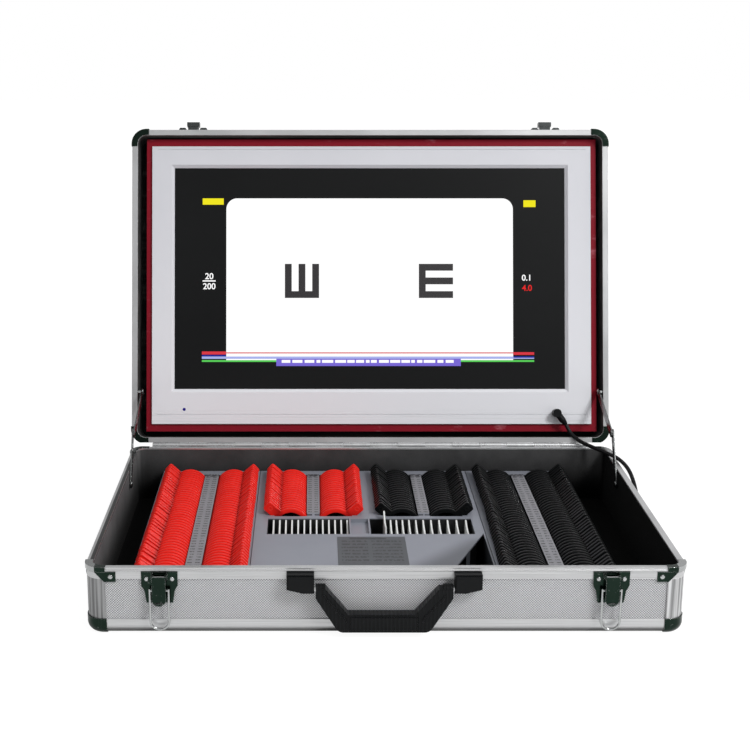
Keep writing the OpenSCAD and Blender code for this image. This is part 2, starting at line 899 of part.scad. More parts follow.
module comb_dividers() {
    color([0.88, 0.89, 0.9]) {
        for (i = [0 : left_dividers - 1]) divider(left_divider_x + i * left_pitch, divider_top);
        // these stand a little further apart from each one to the next
        for (i = [0 : right_dividers - 1])
            divider(right_divider_x + i * right_pitch + i * i * right_growth, divider_top);
        divider(tall_divider_x, tall_divider_top);
    }
}

module rating_plate() {
    color([0.55, 0.57, 0.58]) translate([plate_x, plate_y, deck_z]) cube([plate_w, plate_h, plate_t]);
}

// a rim stands on edge, its tab leaning to the side given by lean
module lens_rim(lean) {
    difference() {
        union() {
            rotate([90, 0, 0]) cylinder(r = rim_r, h = rim_t, center = true, $fn = 72);
            rotate([90, 0, 0]) rotate([0, 0, -lean * tab_lean]) linear_extrude(tab_t, center = true) {
                translate([-tab_w / 2, rim_r - tab_root]) square([tab_w, tab_end - rim_r + tab_root]);
                translate([0, tab_end]) circle(tab_w / 2);
            }
        }
        rotate([90, 0, 0]) cylinder(r = glass_r - lip_w, h = rim_t + 1, center = true, $fn = 72);
        translate([0, rim_t / 2 - rim_t + seat_d, 0]) rotate([90, 0, 0])
            cylinder(r = glass_r + run_gap, h = seat_d + 1, $fn = 72);
        rotate([0, lean * tab_lean, 0]) translate([0, -tab_t / 2 + dimple_d, tab_end])
            rotate([90, 0, 0]) cylinder(r = dimple_r, h = 1);
    }
}

module lens_glass() {
    translate([0, rim_t / 2 - rim_t + seat_d, 0]) rotate([90, 0, 0])
        cylinder(r = glass_r, h = glass_t, $fn = 72);
}

// the left-hand row of a pair leans its tabs left, the other one right
module rim_rows(rows, first, count) {
    for (k = [0, 1], i = [first : count - 1])
        translate([rows[k], row_back - i * lens_pitch, lens_z]) lens_rim(2 * k - 1);
}

module glass_rows(rows, first, count) {
    for (k = [0, 1], i = [first : count - 1])
        translate([rows[k], row_back - i * lens_pitch, lens_z]) lens_glass();
}

module rims_left() {
    color([0.87, 0.14, 0.12]) rim_rows(left_rows, 0, long_count);
}

module rims_right() {
    color([0.05, 0.05, 0.055]) rim_rows(right_rows, 0, long_count);
}

// the front lens of this pair's left row is the one that lifts out
module rims_centre_red() {
    color([0.87, 0.14, 0.12]) {
        rim_rows(red_rows, 0, short_count - 1);
        translate([red_rows[0], row_back - (short_count - 1) * lens_pitch, lens_z]) lens_rim(-1);
    }
}

module rims_centre_black() {
    color([0.05, 0.05, 0.055]) rim_rows(black_rows, 0, short_count);
}

module glass_left() {
    color([0.75, 0.85, 0.85, 0.5]) glass_rows(left_rows, 0, long_count);
}

module glass_right() {
    color([0.75, 0.85, 0.85, 0.5]) glass_rows(right_rows, 0, long_count);
}

module glass_centre_red() {
    color([0.75, 0.85, 0.85, 0.5]) {
        glass_rows(red_rows, 0, short_count - 1);
        translate([red_rows[0], row_back - (short_count - 1) * lens_pitch, lens_z]) lens_glass();
    }
}

module glass_centre_black() {
    color([0.75, 0.85, 0.85, 0.5]) glass_rows(black_rows, 0, short_count);
}

module loose_lens_rim() {
    color([0.87, 0.14, 0.12])
        translate([red_rows[1], row_back - (short_count - 1) * lens_pitch, lens_z]) lens_rim(1);
}

module loose_lens_glass() {
    color([0.75, 0.85, 0.85, 0.5])
        translate([red_rows[1], row_back - (short_count - 1) * lens_pitch, lens_z]) lens_glass();
}

module lid_wall_panels() {
    color([0.78, 0.79, 0.8]) lid_pose()
        translate([0, (rear_y + lid_front_y) / 2, lid_z + lid_h]) mirror([0, 0, 1])
            straight_walls(lid_w, lid_d, corner_r) panel_profile(lid_h - flange_t);
}

module lid_top_panel() {
    in = board_in;
    color([0.78, 0.79, 0.8]) lid_pose()
        translate([0, (rear_y + lid_front_y) / 2, lid_z + lid_board_d])
            linear_extrude(lid_board_t) round_rect(lid_w - 2 * in, lid_d - 2 * in, corner_r - in);
}

module lid_lining() {
    r = corner_r - liner_in;
    w = lid_w - 2 * liner_in;
    d = lid_d - 2 * liner_in;
    color([0.05, 0.05, 0.055]) lid_pose() difference() {
        translate([0, (rear_y + lid_front_y) / 2, lid_z + flange_t])
            linear_extrude(lid_board_d - flange_t) round_rect(w, d, r);
        translate([0, (rear_y + lid_front_y) / 2, lid_z])
            linear_extrude(lid_floor_d) round_rect(w - 2 * liner_t, d - 2 * liner_t, r - liner_t);
        for (m = [0, 1]) mirror([m, 0, 0])
            translate([stay_up_x, rear_y - stay_s, lid_z + stay_d]) rotate([0, 90, 0])
                cylinder(r = stay_pin_r, h = lid_half - stay_up_x);
    }
}

module lid_surround() {
    clear = 0.2;
    half = bezel_w / 2 - shell_margin + clear;
    color([0.55, 0.07, 0.15]) lid_pose() translate([screen_x, 0, 0]) difference() {
        lid_block(-surround_half, surround_half, surround_s0, surround_s1, surround_d, lid_floor_d);
        lid_block(-half, half, bezel_s0 + shell_margin - clear, bezel_s0 + bezel_h - shell_margin + clear,
            surround_d - 1, lid_floor_d + 1);
    }
}

module lid_rim_frame() {
    color([0.82, 0.83, 0.84]) lid_pose() difference() {
        lid_flip() swept_frame(lid_w, lid_d, corner_r) rim_profile(flange_in, leg_in, leg_t);
        translate([-lid_half, rear_y, lid_z - 1]) cube([lid_w, 2 * bead_r, base_h]);
        for (m = [0, 1]) mirror([m, 0, 0])
            translate([stay_up_x, rear_y - stay_s, lid_z + stay_d]) rotate([0, 90, 0])
                cylinder(r = stay_pin_r, h = lid_half - stay_up_x - skin);
    }
}

module lid_edge_frame() {
    color([0.82, 0.83, 0.84]) lid_pose()
        translate([0, (rear_y + lid_front_y) / 2, lid_z + lid_h]) mirror([0, 0, 1])
            swept_frame(lid_w, lid_d, corner_r) foot_profile(foot_h);
}

module lid_corner_posts() {
    color([0.82, 0.83, 0.84]) lid_pose()
        translate([0, (rear_y + lid_front_y) / 2, lid_z + rim_h]) four_corners()
            swept_corner(lid_w, lid_d, corner_r, post_len - corner_r)
                translate([-skin, 0]) square([skin, lid_h - rim_h - foot_h]);
}

module lid_corner_caps() {
    color([0.16, 0.2, 0.18]) lid_pose()
        translate([0, (rear_y + lid_front_y) / 2, lid_z + lid_h]) mirror([0, 0, 1])
            four_corners() swept_corner(lid_w, lid_d, corner_r, cap_reach - corner_r)
                cap_profile(cap_h);
}

module lid_rim_brackets() {
    color([0.16, 0.2, 0.18]) lid_pose() difference() {
        lid_flip() four_corners() rim_bracket(lid_w, lid_d);
        translate([-case_w, rear_y, lid_z - 1]) cube([2 * case_w, 3 * bead_r, base_h]);
    }
}

// plate with a padded wing on each side of the hook
module lid_catch() {
    wing_x = (catch_w - wing_w) / 2;
    translate([-catch_w / 2, -latch_t, catch_z]) cube([catch_w, latch_t, catch_h]);
    difference() {
        for (sx = [-1, 1]) translate([sx * wing_x, 0, catch_z]) linear_extrude(catch_h)
            round_rect(wing_w, 2 * wing_out, wing_r);
        translate([-catch_w, -latch_t / 2, 0]) cube([2 * catch_w, catch_w, 2 * base_h]);
    }
    // the hook: a neck that fits the loop of the latch's wire, and a cap
    translate([0, 0, knob_z]) rotate([90, 0, 0]) {
        linear_extrude(neck_out) polygon([
            [-neck_w / 2, 1], [neck_w / 2, 1], [neck_w / 2, neck_low + 1],
            [neck_top_w / 2, knob_h - 1], [-neck_top_w / 2, knob_h - 1], [-neck_w / 2, neck_low + 1]
        ]);
        translate([-knob_w / 2, 0, neck_out]) cube([knob_w, knob_h, knob_out - neck_out]);
    }
}

module lid_catches() {
    color([0.7, 0.71, 0.72]) lid_pose() for (x = [-latch_x, latch_x])
        translate([front_x + x, lid_front_y, 0]) lid_catch();
}

module lid_rivets() {
    bracket_z = lid_z + rivet_down;
    wing_x = (catch_w - wing_w) / 2;
    color([0.85, 0.86, 0.87]) lid_pose() {
        for (m = [0, 1]) mirror([m, 0, 0]) {
            translate([lid_half - rivet_in, lid_front_y - bracket_t, bracket_z])
                rotate([90, 0, 0]) rivet(rivet_r, rivet_h);
            for (y = [lid_front_y + rivet_in, rear_y - rivet_in])
                translate([lid_half + bracket_t, y, bracket_z]) rotate([0, 90, 0]) rivet(rivet_r, rivet_h);
            translate([stay_up_x - rivet_h, rear_y - stay_s, lid_z + stay_d]) rotate([0, 90, 0]) {
                cylinder(r = stay_pin_r, h = lid_half - panel_out_in - stay_up_x + rivet_h);
                cylinder(r = stay_head_r, h = rivet_h - run_gap);
            }
        }
        for (x = [-latch_x, latch_x], sx = [-1, 1])
            translate([front_x + x + sx * wing_x, lid_front_y - wing_out, catch_z + catch_h / 2])
                rotate([90, 0, 0]) rivet(rivet_r, rivet_h);
    }
}

// the lit area's opening, flared towards the front of the bezel
module lit_opening() {
    half = lit_w / 2;
    slope = lit_flare / bezel_t;
    z0 = lid_z + bezel_d - 1;
    z1 = lid_z + bezel_d + bezel_t + 1;
    g0 = lit_flare + slope;
    y0 = rear_y - lit_s0 - lit_h;
    y1 = rear_y - lit_s0;
    intersection() {
        translate([lit_x, rear_y, 0]) rotate([90, 0, 0]) linear_extrude(lid_d)
            polygon([[-half - g0, z0], [half + g0, z0], [half - slope, z1], [slope - half, z1]]);
        rotate([90, 0, 90]) linear_extrude(lid_w, center = true)
            polygon([[y0 - g0, z0], [y1 + g0, z0], [y1 - slope, z1], [y0 + slope, z1]]);
    }
}

module screen_bezel() {
    half = bezel_w / 2;
    color([0.85, 0.85, 0.87]) lid_pose() difference() {
        translate([screen_x, 0, 0]) difference() {
            lid_block(-half, half, bezel_s0, bezel_s0 + bezel_h, bezel_d, bezel_d + bezel_t);
            // engraved lines across the margins
            for (s = [bezel_s0 + line_low, bezel_s0 + bezel_h - line_high])
                lid_block(line_in - half, half - line_in, s, s + line_w, bezel_d - 1, bezel_d + line_d);
        }
        lit_opening();
        translate([socket_x, rear_y - socket_s, lid_z + bezel_d - 1])
            cylinder(r = plug_r + plug_gap, h = bezel_t + 2);
    }
}

module screen_panel() {
    half = lit_w / 2 + panel_margin;
    color([0.05, 0.05, 0.06]) lid_pose()
        lid_block(lit_x - half, lit_x + half, lit_s0 - panel_margin, lit_s0 + lit_h + panel_margin,
            panel_d, panel_d + panel_t);
}

module screen_housing() {
    half = bezel_w / 2 - shell_margin;
    s0 = bezel_s0 + shell_margin;
    s1 = bezel_s0 + bezel_h - shell_margin;
    color([0.2, 0.2, 0.21]) lid_pose() translate([screen_x, 0, 0]) difference() {
        lid_block(-half, half, s0, s1, panel_d, lid_floor_d);
        lid_block(shell_t - half, half - shell_t, s0 + shell_t, s1 - shell_t,
            panel_d - 1, lid_floor_d - shell_t);
    }
}

// circuit board with a chip and a connector on it
module driver_board() {
    d = board_d + 0.1;
    top = d + board_pcb;
    color([0.1, 0.35, 0.2]) lid_pose() {
        lid_block(board_x, board_x + board_w, board_s0 + 3, board_s0 + board_s, d, top);
        lid_block(board_x + chip_x[0], board_x + chip_x[1], board_s0 + chip_s[0], board_s0 + chip_s[1],
            top, top + chip_t);
        lid_block(board_x + plug_x[0], board_x + plug_x[1], board_s0 + plug_s[0], board_s0 + plug_s[1],
            top, top + plug_t);
    }
}

module power_socket() {
    color([0.07, 0.07, 0.08]) lid_pose()
        translate([socket_x, rear_y - socket_s, lid_z + panel_d]) difference() {
            cylinder(r = socket_r, h = socket_len);
            translate([0, 0, -1]) cylinder(r = socket_bore, h = socket_len);
        }
}

// right-angle plug with its strain relief pointing down and outwards
module power_plug() {
    color([0.05, 0.05, 0.055]) lid_pose() translate([socket_x, rear_y - socket_s, lid_z + bezel_d]) {
        translate([0, 0, -plug_lift]) cylinder(r = socket_bore - run_gap, h = bezel_t + barrel_in);
        translate([0, 0, -head_h]) cylinder(r = head_r, h = head_h - plug_lift);
        translate([0, 0, relief_r - head_h]) rotate([0, 0, plug_turn]) rotate([0, 90, 0]) {
            cylinder(r = relief_r, h = relief_len);
            translate([0, 0, relief_len]) cylinder(r1 = relief_r, r2 = relief_tip, h = relief_taper);
        }
    }
}

module cable_run(a, b) {
    v = b - a;
    len = norm(v);
    translate(a) rotate([0, acos(v[2] / len), atan2(v[1], v[0])]) cylinder(r = cable_r, h = len, $fn = 24);
}

// cable from the strain relief over the rear corner of the base to the ground
module power_cable() {
    path = [
        [216.05, 182.95, 83.6], [221, 178.5, 75.5], [229, 170, 69.5], [240, 158, 66.6], [252, 140, 65.6],
        [261.5, 117, 65.4], [266.5, 92, 62], [268.5, 70, 52], [269, 54, 36], [269.5, 44, 18],
        [270.5, 34, 6], [272, 20, 2.1], [274, 0, 2.1]
    ];
    color([0.06, 0.06, 0.065]) {
        for (i = [0 : len(path) - 2]) cable_run(path[i], path[i + 1]);
        for (i = [1 : len(path) - 1]) translate(path[i]) sphere(r = cable_joint_r, $fn = 24);
    }
}

base_wall_panels();
base_bottom();
base_lining();
base_rim_frame();
base_foot_frame();
base_corner_posts();
base_corner_caps();
base_rim_brackets();
base_rivets();
hinge_leaf_base();
hinge_leaf_lid();
hinge_pin();
latch_plates();
latch_lever_left();
latch_lever_right();
latch_bail_left();
latch_bail_right();
pivot_pins();
handle_brackets();
handle();
stay_lower_left();
stay_lower_right();
stay_upper_left();
stay_upper_right();
tray_left();
tray_centre();
tray_right();
comb_dividers();
rating_plate();
label_strip_left();
label_strips_centre();
label_strip_right();
rims_left();
rims_centre_red();
rims_centre_black();
rims_right();
glass_left();
glass_centre_red();
glass_centre_black();
glass_right();
loose_lens_rim();
loose_lens_glass();
lid_wall_panels();
lid_top_panel();
lid_lining();
lid_surround();
lid_rim_frame();
lid_edge_frame();
lid_corner_posts();
lid_corner_caps();
lid_rim_brackets();
lid_catches();
lid_rivets();
screen_bezel();
screen_panel();
screen_housing();
driver_board();
power_socket();
power_plug();
power_cable();
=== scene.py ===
import json
import math
import random

import bpy
import numpy as np
from mathutils import Matrix, Vector


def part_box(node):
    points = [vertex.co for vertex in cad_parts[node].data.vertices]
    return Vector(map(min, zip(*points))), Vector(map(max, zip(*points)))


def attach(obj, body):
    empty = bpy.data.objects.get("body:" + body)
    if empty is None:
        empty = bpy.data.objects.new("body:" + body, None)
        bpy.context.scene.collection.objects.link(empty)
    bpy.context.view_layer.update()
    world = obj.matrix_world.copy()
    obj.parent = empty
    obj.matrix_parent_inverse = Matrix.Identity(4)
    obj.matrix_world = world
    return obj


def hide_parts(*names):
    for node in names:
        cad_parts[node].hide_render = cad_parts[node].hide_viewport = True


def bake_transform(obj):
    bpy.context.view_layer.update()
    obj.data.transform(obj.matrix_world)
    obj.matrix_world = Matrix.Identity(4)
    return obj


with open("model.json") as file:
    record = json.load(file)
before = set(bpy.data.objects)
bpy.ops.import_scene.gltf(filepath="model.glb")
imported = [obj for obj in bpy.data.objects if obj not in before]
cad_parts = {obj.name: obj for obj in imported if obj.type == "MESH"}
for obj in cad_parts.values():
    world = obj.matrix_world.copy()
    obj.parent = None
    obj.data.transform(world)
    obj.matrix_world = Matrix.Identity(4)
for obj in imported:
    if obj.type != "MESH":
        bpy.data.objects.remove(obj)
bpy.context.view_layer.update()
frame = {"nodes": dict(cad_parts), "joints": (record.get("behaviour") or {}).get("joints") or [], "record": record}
nodes = frame["nodes"]

MM = 0.001

# ---------------------------------------------------------------- the lid's own axes
hinge = next(j for j in frame["joints"] if j["name"] == "lid_hinge")
OPEN = math.radians(-hinge["range_deg"][0])
LID_UP = Vector((0, -math.cos(OPEN), math.sin(OPEN)))
LID_IN = Vector((0, math.sin(OPEN), math.cos(OPEN)))


def along(node, axis):
    """Least and greatest distance of a node's points along an axis."""
    d = [v.co.dot(axis) for v in nodes[node].data.vertices]
    return min(d), max(d)


BEZEL_LOW = along("screen_bezel", LID_UP)[0]
PANEL_FRONT = along("screen_panel", LID_IN)[0]
BEZEL_FRONT = along("screen_bezel", LID_IN)[0]
# the bezel's lower edge stands this far up the lid
BEZEL_S = 20.3


def on_lid(x, s, plane, lift):
    """A point of the lid: x across, s up from its rear face, lift in front of a plane, all in mm."""
    up = BEZEL_LOW + (s - BEZEL_S) * MM
    return Vector((x * MM, 0, 0)) + LID_UP * up + LID_IN * (plane - lift * MM)


# ---------------------------------------------------------------- shader helpers
def tree(name):
    mat = bpy.data.materials.new(name)
    mat.use_nodes = True
    mat.node_tree.nodes.clear()
    return mat, mat.node_tree


def feed(nt, socket, value):
    if isinstance(value, bpy.types.NodeSocket):
        nt.links.new(value, socket)
    else:
        socket.default_value = value


def put(nt, kind, options=None, **inputs):
    n = nt.nodes.new("ShaderNode" + kind)
    for k, v in (options or {}).items():
        setattr(n, k, v)
    for k, v in inputs.items():
        feed(nt, n.inputs[k.replace("_", " ")], v)
    return n


def calc(nt, op, a, b=0.0, c=0.0, clamp=False):
    n = nt.nodes.new("ShaderNodeMath")
    n.operation = op
    n.use_clamp = clamp
    for socket, value in zip(n.inputs, (a, b, c)):
        feed(nt, socket, value)
    return n.outputs[0]


def vec(nt, op, a, b=None):
    n = nt.nodes.new("ShaderNodeVectorMath")
    n.operation = op
    feed(nt, n.inputs[0], a)
    if b is not None:
        feed(nt, n.inputs[1], b)
    return n.outputs["Value"] if op in ("DOT_PRODUCT", "LENGTH") else n.outputs[0]


def mix(nt, fac, a, b):
    n = nt.nodes.new("ShaderNodeMix")
    feed(nt, n.inputs[0], fac)
    feed(nt, n.inputs[2], a)
    feed(nt, n.inputs[3], b)
    return n.outputs[0]


def tint(nt, fac, a, b):
    n = nt.nodes.new("ShaderNodeMix")
    n.data_type = "RGBA"
    feed(nt, n.inputs[0], fac)
    for socket, value in ((n.inputs[6], a), (n.inputs[7], b)):
        feed(nt, socket, value if isinstance(value, bpy.types.NodeSocket) else (*value, 1))
    return n.outputs[2]


def step(nt, value, low, high):
    """0 below low, 1 above high, smooth in between."""
    n = put(nt, "MapRange", {"interpolation_type": "SMOOTHSTEP"}, Value=value, From_Min=low, From_Max=high)
    return n.outputs[0]


def within(nt, value, middle, reach):
    """1 where a value is within reach of a middle, else 0."""
    off = calc(nt, "ABSOLUTE", calc(nt, "SUBTRACT", value, middle))
    return calc(nt, "LESS_THAN", off, reach)


def between(nt, value, rise, fall):
    """1 between two smooth steps, each given as (start, end)."""
    return calc(nt, "MULTIPLY", step(nt, value, *rise), calc(nt, "SUBTRACT", 1.0, step(nt, value, *fall)))


def output(nt, shader):
    out = nt.nodes.new("ShaderNodeOutputMaterial")
    nt.links.new(shader.outputs[0], out.inputs[0])


def blend_shaders(nt, fac, a, b):
    m = nt.nodes.new("ShaderNodeMixShader")
    feed(nt, m.inputs[0], fac)
    nt.links.new(a.outputs[0], m.inputs[1])
    nt.links.new(b.outputs[0], m.inputs[2])
    return m


def spot(nt):
    return put(nt, "TexCoord").outputs["Object"]


def stretched(nt, scale):
    """Object coordinates times a scale for each axis, in parts per metre."""
    return vec(nt, "MULTIPLY", spot(nt), scale)


def noise(nt, vector, scale=1.0, detail=2.0, rough=0.5):
    return put(nt, "TexNoise", Vector=vector, Scale=scale, Detail=detail, Roughness=rough).outputs[0]


def split(nt, vector):
    n = put(nt, "SeparateXYZ", Vector=vector)
    return n.outputs[0], n.outputs[1], n.outputs[2]


def soft_edge(nt, radius):
    return put(nt, "Bevel", {"samples": 2}, Radius=radius * MM).outputs[0]


def edge_highlight_and_wear(nt, radius, gain):
    """1 along convex and concave edges, 0 on open faces; used to paint highlights along edges, and on plating also
    rubbed wear.
    """
    turned = vec(nt, "DOT_PRODUCT", soft_edge(nt, radius), put(nt, "NewGeometry").outputs["True Normal"])
    return calc(nt, "MULTIPLY", calc(nt, "SUBTRACT", 1.0, turned), gain, clamp=True)


def bump(nt, height, depth, normal=None, strength=1.0):
    n = put(nt, "Bump", Height=height, Distance=depth * MM, Strength=strength)
    if normal is not None:
        nt.links.new(normal, n.inputs["Normal"])
    return n.outputs[0]


def surface(nt, colour, rough, metal=0.0, normal=None, **extra):
    if not isinstance(colour, bpy.types.NodeSocket):
        colour = (*colour, 1)
    b = put(nt, "BsdfPrincipled", Base_Color=colour, Roughness=rough, Metallic=metal)
    for k, v in extra.items():
        feed(nt, b.inputs[k.replace("_", " ")], v)
    if normal is not None:
        nt.links.new(normal, b.inputs["Normal"])
    output(nt, b)


# ---------------------------------------------------------------- materials
def lid_or_base_axes(nt, lid):
    """Position and normal as (x, y, z) sockets, turned into the lid's own axes for the lid."""
    t = put(nt, "TexCoord")
    result = []
    for v in (t.outputs["Object"], t.outputs["Normal"]):
        x, y, z = split(nt, v)
        if lid:
            y, z = vec(nt, "DOT_PRODUCT", v, LID_IN), vec(nt, "DOT_PRODUCT", v, LID_UP)
        result.append((x, y, z))
    return result


def embossed(name, lid):
    """Rolled aluminium skin with a fine diamond grid, its grooves painted dark as painted shade."""
    mat, nt = tree(name)
    (x, y, z), (nx, ny, nz) = lid_or_base_axes(nt, lid)
    side = calc(nt, "GREATER_THAN", calc(nt, "ABSOLUTE", nx), 0.7)
    flat = calc(nt, "GREATER_THAN", calc(nt, "ABSOLUTE", nz), 0.7)
    u = mix(nt, side, x, y)
    v = mix(nt, flat, z, y)
    k = math.pi / (2.3 * MM)
    a = calc(nt, "SINE", calc(nt, "MULTIPLY", calc(nt, "ADD", u, v), k))
    b = calc(nt, "SINE", calc(nt, "MULTIPLY", calc(nt, "SUBTRACT", u, v), k))
    cell = calc(nt, "POWER", calc(nt, "ABSOLUTE", calc(nt, "MULTIPLY", a, b)), 0.5)
    cloud = noise(nt, spot(nt), 9, 3)
    fine = noise(nt, spot(nt), 900, 2)
    # painted shade: the grid's grooves are coloured dark and its tops light
    colour = tint(nt, step(nt, cell, 0.2, 0.8), (0.13, 0.135, 0.145), (0.64, 0.645, 0.655))
    colour = tint(nt, step(nt, cloud, 0.35, 0.75), colour, tint(nt, 0.12, colour, (0.62, 0.6, 0.66)))
    rough = calc(nt, "ADD", 0.34, calc(nt, "MULTIPLY", fine, 0.14))
    surface(nt, colour, rough, 0.35, bump(nt, cell, 0.35), Specular_IOR_Level=0.35)
    return mat


FLANGE_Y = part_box("base_rim_frame")[1].y - 6.2 * MM


def extrusion(name, low, high, lines, left_flange_shade_from=None, under=False, shade_left=False, lid=False):
    """Satin aluminium with drawn lines; the inner part of the base's left rim flange top is painted near black as
    painted shade.
    """
    mat, nt = tree(name)
    p = spot(nt)
    if lid:
        up, deep = vec(nt, "DOT_PRODUCT", p, LID_UP), vec(nt, "DOT_PRODUCT", p, LID_IN)
        p = put(nt, "CombineXYZ", X=split(nt, p)[0], Y=up, Z=deep).outputs[0]
    draw = noise(nt, vec(nt, "MULTIPLY", p, lines), 1, 3)
    cloud = noise(nt, spot(nt), 14, 2)
    edge = edge_highlight_and_wear(nt, 0.5, 4)
    base = tint(nt, step(nt, draw, 0.3, 0.7), (low, low * 1.01, low * 1.02), (high, high * 1.005, high * 1.015))
    # painted highlight: edges are coloured near white
    colour = tint(nt, edge, base, (0.9, 0.9, 0.91))
    if left_flange_shade_from is not None:
        # painted shade: the left rim's flange top, inside its outer edge, is coloured near black
        x, y, z = split(nt, spot(nt))
        top = step(nt, split(nt, put(nt, "NewGeometry").outputs["True Normal"])[2], 0.6, 0.9)
        inner = calc(nt, "MULTIPLY", step(nt, x, left_flange_shade_from, left_flange_shade_from + 0.3 * MM), calc(nt, "LESS_THAN", x, -0.2))
        inner = calc(nt, "MULTIPLY", inner, calc(nt, "LESS_THAN", calc(nt, "ABSOLUTE", y), FLANGE_Y))
        colour = tint(nt, calc(nt, "MULTIPLY", calc(nt, "MULTIPLY", inner, top), 0.93), colour, (0.01, 0.01, 0.01))
    if under:
        # painted shade: faces turned downwards are coloured dark
        down = calc(nt, "MULTIPLY", split(nt, put(nt, "NewGeometry").outputs["Normal"])[2], -1.0)
        colour = tint(nt, calc(nt, "MULTIPLY", step(nt, down, 0.0, 0.5), 0.85), colour, (0.05, 0.05, 0.05))
    if shade_left:
        # painted shade: the left half is coloured darker
        left = calc(nt, "LESS_THAN", split(nt, spot(nt))[0], 0.0)
        colour = tint(nt, calc(nt, "MULTIPLY", left, 0.55), colour, (0.03, 0.032, 0.032))
    rough = calc(nt, "ADD", 0.26, calc(nt, "MULTIPLY", cloud, 0.16))
    surface(nt, colour, rough, 0.75, bump(nt, draw, 0.03, soft_edge(nt, 0.4)))
    return mat


def plated(name, dark, bright, rough, gain, radius=0.5, bare=None):
    """Plating with painted highlights along its edges, partly rubbed bright there and scuffed, and bare metal
    further out than the given x.
    """
    mat, nt = tree(name)
    smear = noise(nt, stretched(nt, (90, 90, 30)), 1, 4, 0.6)
    edge = edge_highlight_and_wear(nt, radius, gain)
    scuff = step(nt, noise(nt, spot(nt), 260, 4, 0.65), 0.62, 0.75)
    colour = tint(nt, smear, dark, tuple(c * 1.7 for c in dark))
    if bare is not None:
        out_x = calc(nt, "ABSOLUTE", split(nt, spot(nt))[0])
        colour = tint(nt, step(nt, out_x, bare, bare + 0.4 * MM), colour, (0.4, 0.41, 0.41))
    # painted highlight along edges, with rubbed wear and scuffs, in the bright colour
    colour = tint(nt, calc(nt, "MAXIMUM", edge, calc(nt, "MULTIPLY", scuff, 0.35)), colour, bright)
    r = calc(nt, "ADD", rough, calc(nt, "MULTIPLY", smear, 0.12))
    surface(nt, colour, r, 1.0, bump(nt, smear, 0.05, soft_edge(nt, radius)))
    return mat


def moulded(name, colour, rough, grain, grain_depth, radius=0.4, coat=0.0, vary=0.15, shine=0.5, ribs=0.0):
    """Moulded plastic: slight colour drift, a fine grain and softened edges; given ribs get their crests painted
    lighter as painted highlight.
    """
    mat, nt = tree(name)
    cloud = noise(nt, spot(nt), 30, 3)
    fine = noise(nt, spot(nt), grain, 3, 0.6)
    c = tint(nt, cloud, tuple(v * (1 - vary) for v in colour), tuple(min(1, v * (1 + vary)) for v in colour))
    r = calc(nt, "ADD", rough, calc(nt, "MULTIPLY", calc(nt, "SUBTRACT", fine, 0.5), 0.16))
    height = fine
    if ribs:
        x = split(nt, spot(nt))[0]
        wave = calc(nt, "SINE", calc(nt, "MULTIPLY", x, 2 * math.pi / (ribs * MM)))
        ridge = step(nt, wave, 0.2, 0.9)
        # painted highlight: rib crests coloured lighter
        c = tint(nt, calc(nt, "MULTIPLY", ridge, 0.6), c, tuple(3 * v for v in colour))
        height = calc(nt, "ADD", fine, calc(nt, "MULTIPLY", ridge, 6.0))
    surface(nt, c, r, 0.0, bump(nt, height, grain_depth, soft_edge(nt, radius)), Coat_Weight=coat,
            Coat_Roughness=0.12, Specular_IOR_Level=shine)
    return mat


def liner():
    """Brushed black cloth; the walls that face the light look greyer towards the rim."""
    mat, nt = tree("black_nap")
    nap = noise(nt, stretched(nt, (700, 700, 160)), 1, 4, 0.7)
    patch = noise(nt, spot(nt), 26, 4, 0.6)
    t = put(nt, "TexCoord")
    x, y, z = split(nt, t.outputs["Object"])
    nx, ny, nz = split(nt, t.outputs["Normal"])
    rear = step(nt, calc(nt, "MULTIPLY", ny, -1.0), 0.3, 0.9)
    lit = calc(nt, "MAXIMUM", step(nt, nx, 0.3, 0.9), calc(nt, "MULTIPLY", rear, 0.55))
    high = step(nt, z, 0.012, 0.064)
    glow = calc(nt, "MULTIPLY", calc(nt, "MULTIPLY", lit, high), calc(nt, "ADD", 0.35, patch))
    colour = tint(nt, calc(nt, "MINIMUM", glow, 1.0), (0.002, 0.0021, 0.0022), (0.125, 0.125, 0.127))
    surface(nt, colour, 0.85, 0.0, bump(nt, nap, 0.25), Sheen_Weight=0.02, Sheen_Roughness=0.5,
            Specular_IOR_Level=0.05)
    return mat


def lid_liner():
    mat, nt = tree("lid_nap")
    nap = noise(nt, stretched(nt, (500, 500, 500)), 1, 4, 0.7)
    patch = noise(nt, stretched(nt, (5, 60, 60)), 1, 3, 0.6)
    colour = tint(nt, step(nt, patch, 0.4, 0.8), (0.009, 0.008, 0.008), (0.07, 0.066, 0.062))
    surface(nt, colour, 0.8, 0.0, bump(nt, nap, 0.2), Sheen_Weight=0.05, Specular_IOR_Level=0.2)
    return mat


def crimson():
    """Satin cloth pulled round the edge of the surround, with pale streaks along it painted in as sheen highlights.
    """
    mat, nt = tree("crimson_satin")
    weave = noise(nt, stretched(nt, (2400, 700, 700)), 1, 2)
    streak = noise(nt, stretched(nt, (26, 210, 26)), 1, 4, 0.65)
    fold = noise(nt, spot(nt), 55, 3)
    colour = tint(nt, weave, (0.17, 0.004, 0.012), (0.25, 0.006, 0.018))
    # painted highlight: pale satin sheen streaks
    colour = tint(nt, calc(nt, "MULTIPLY", step(nt, streak, 0.6, 0.82), 0.45), colour, (0.75, 0.3, 0.36))
    surface(nt, colour, 0.42, 0.0, bump(nt, calc(nt, "ADD", weave, calc(nt, "MULTIPLY", fold, 3.0)), 0.12),
            Sheen_Weight=0.04, Sheen_Roughness=0.35, Specular_IOR_Level=0.12)
    return mat


# the shallow pocket between the wells, in metres
POCKET_X = -0.01725
POCKET_HALF = 0.0098


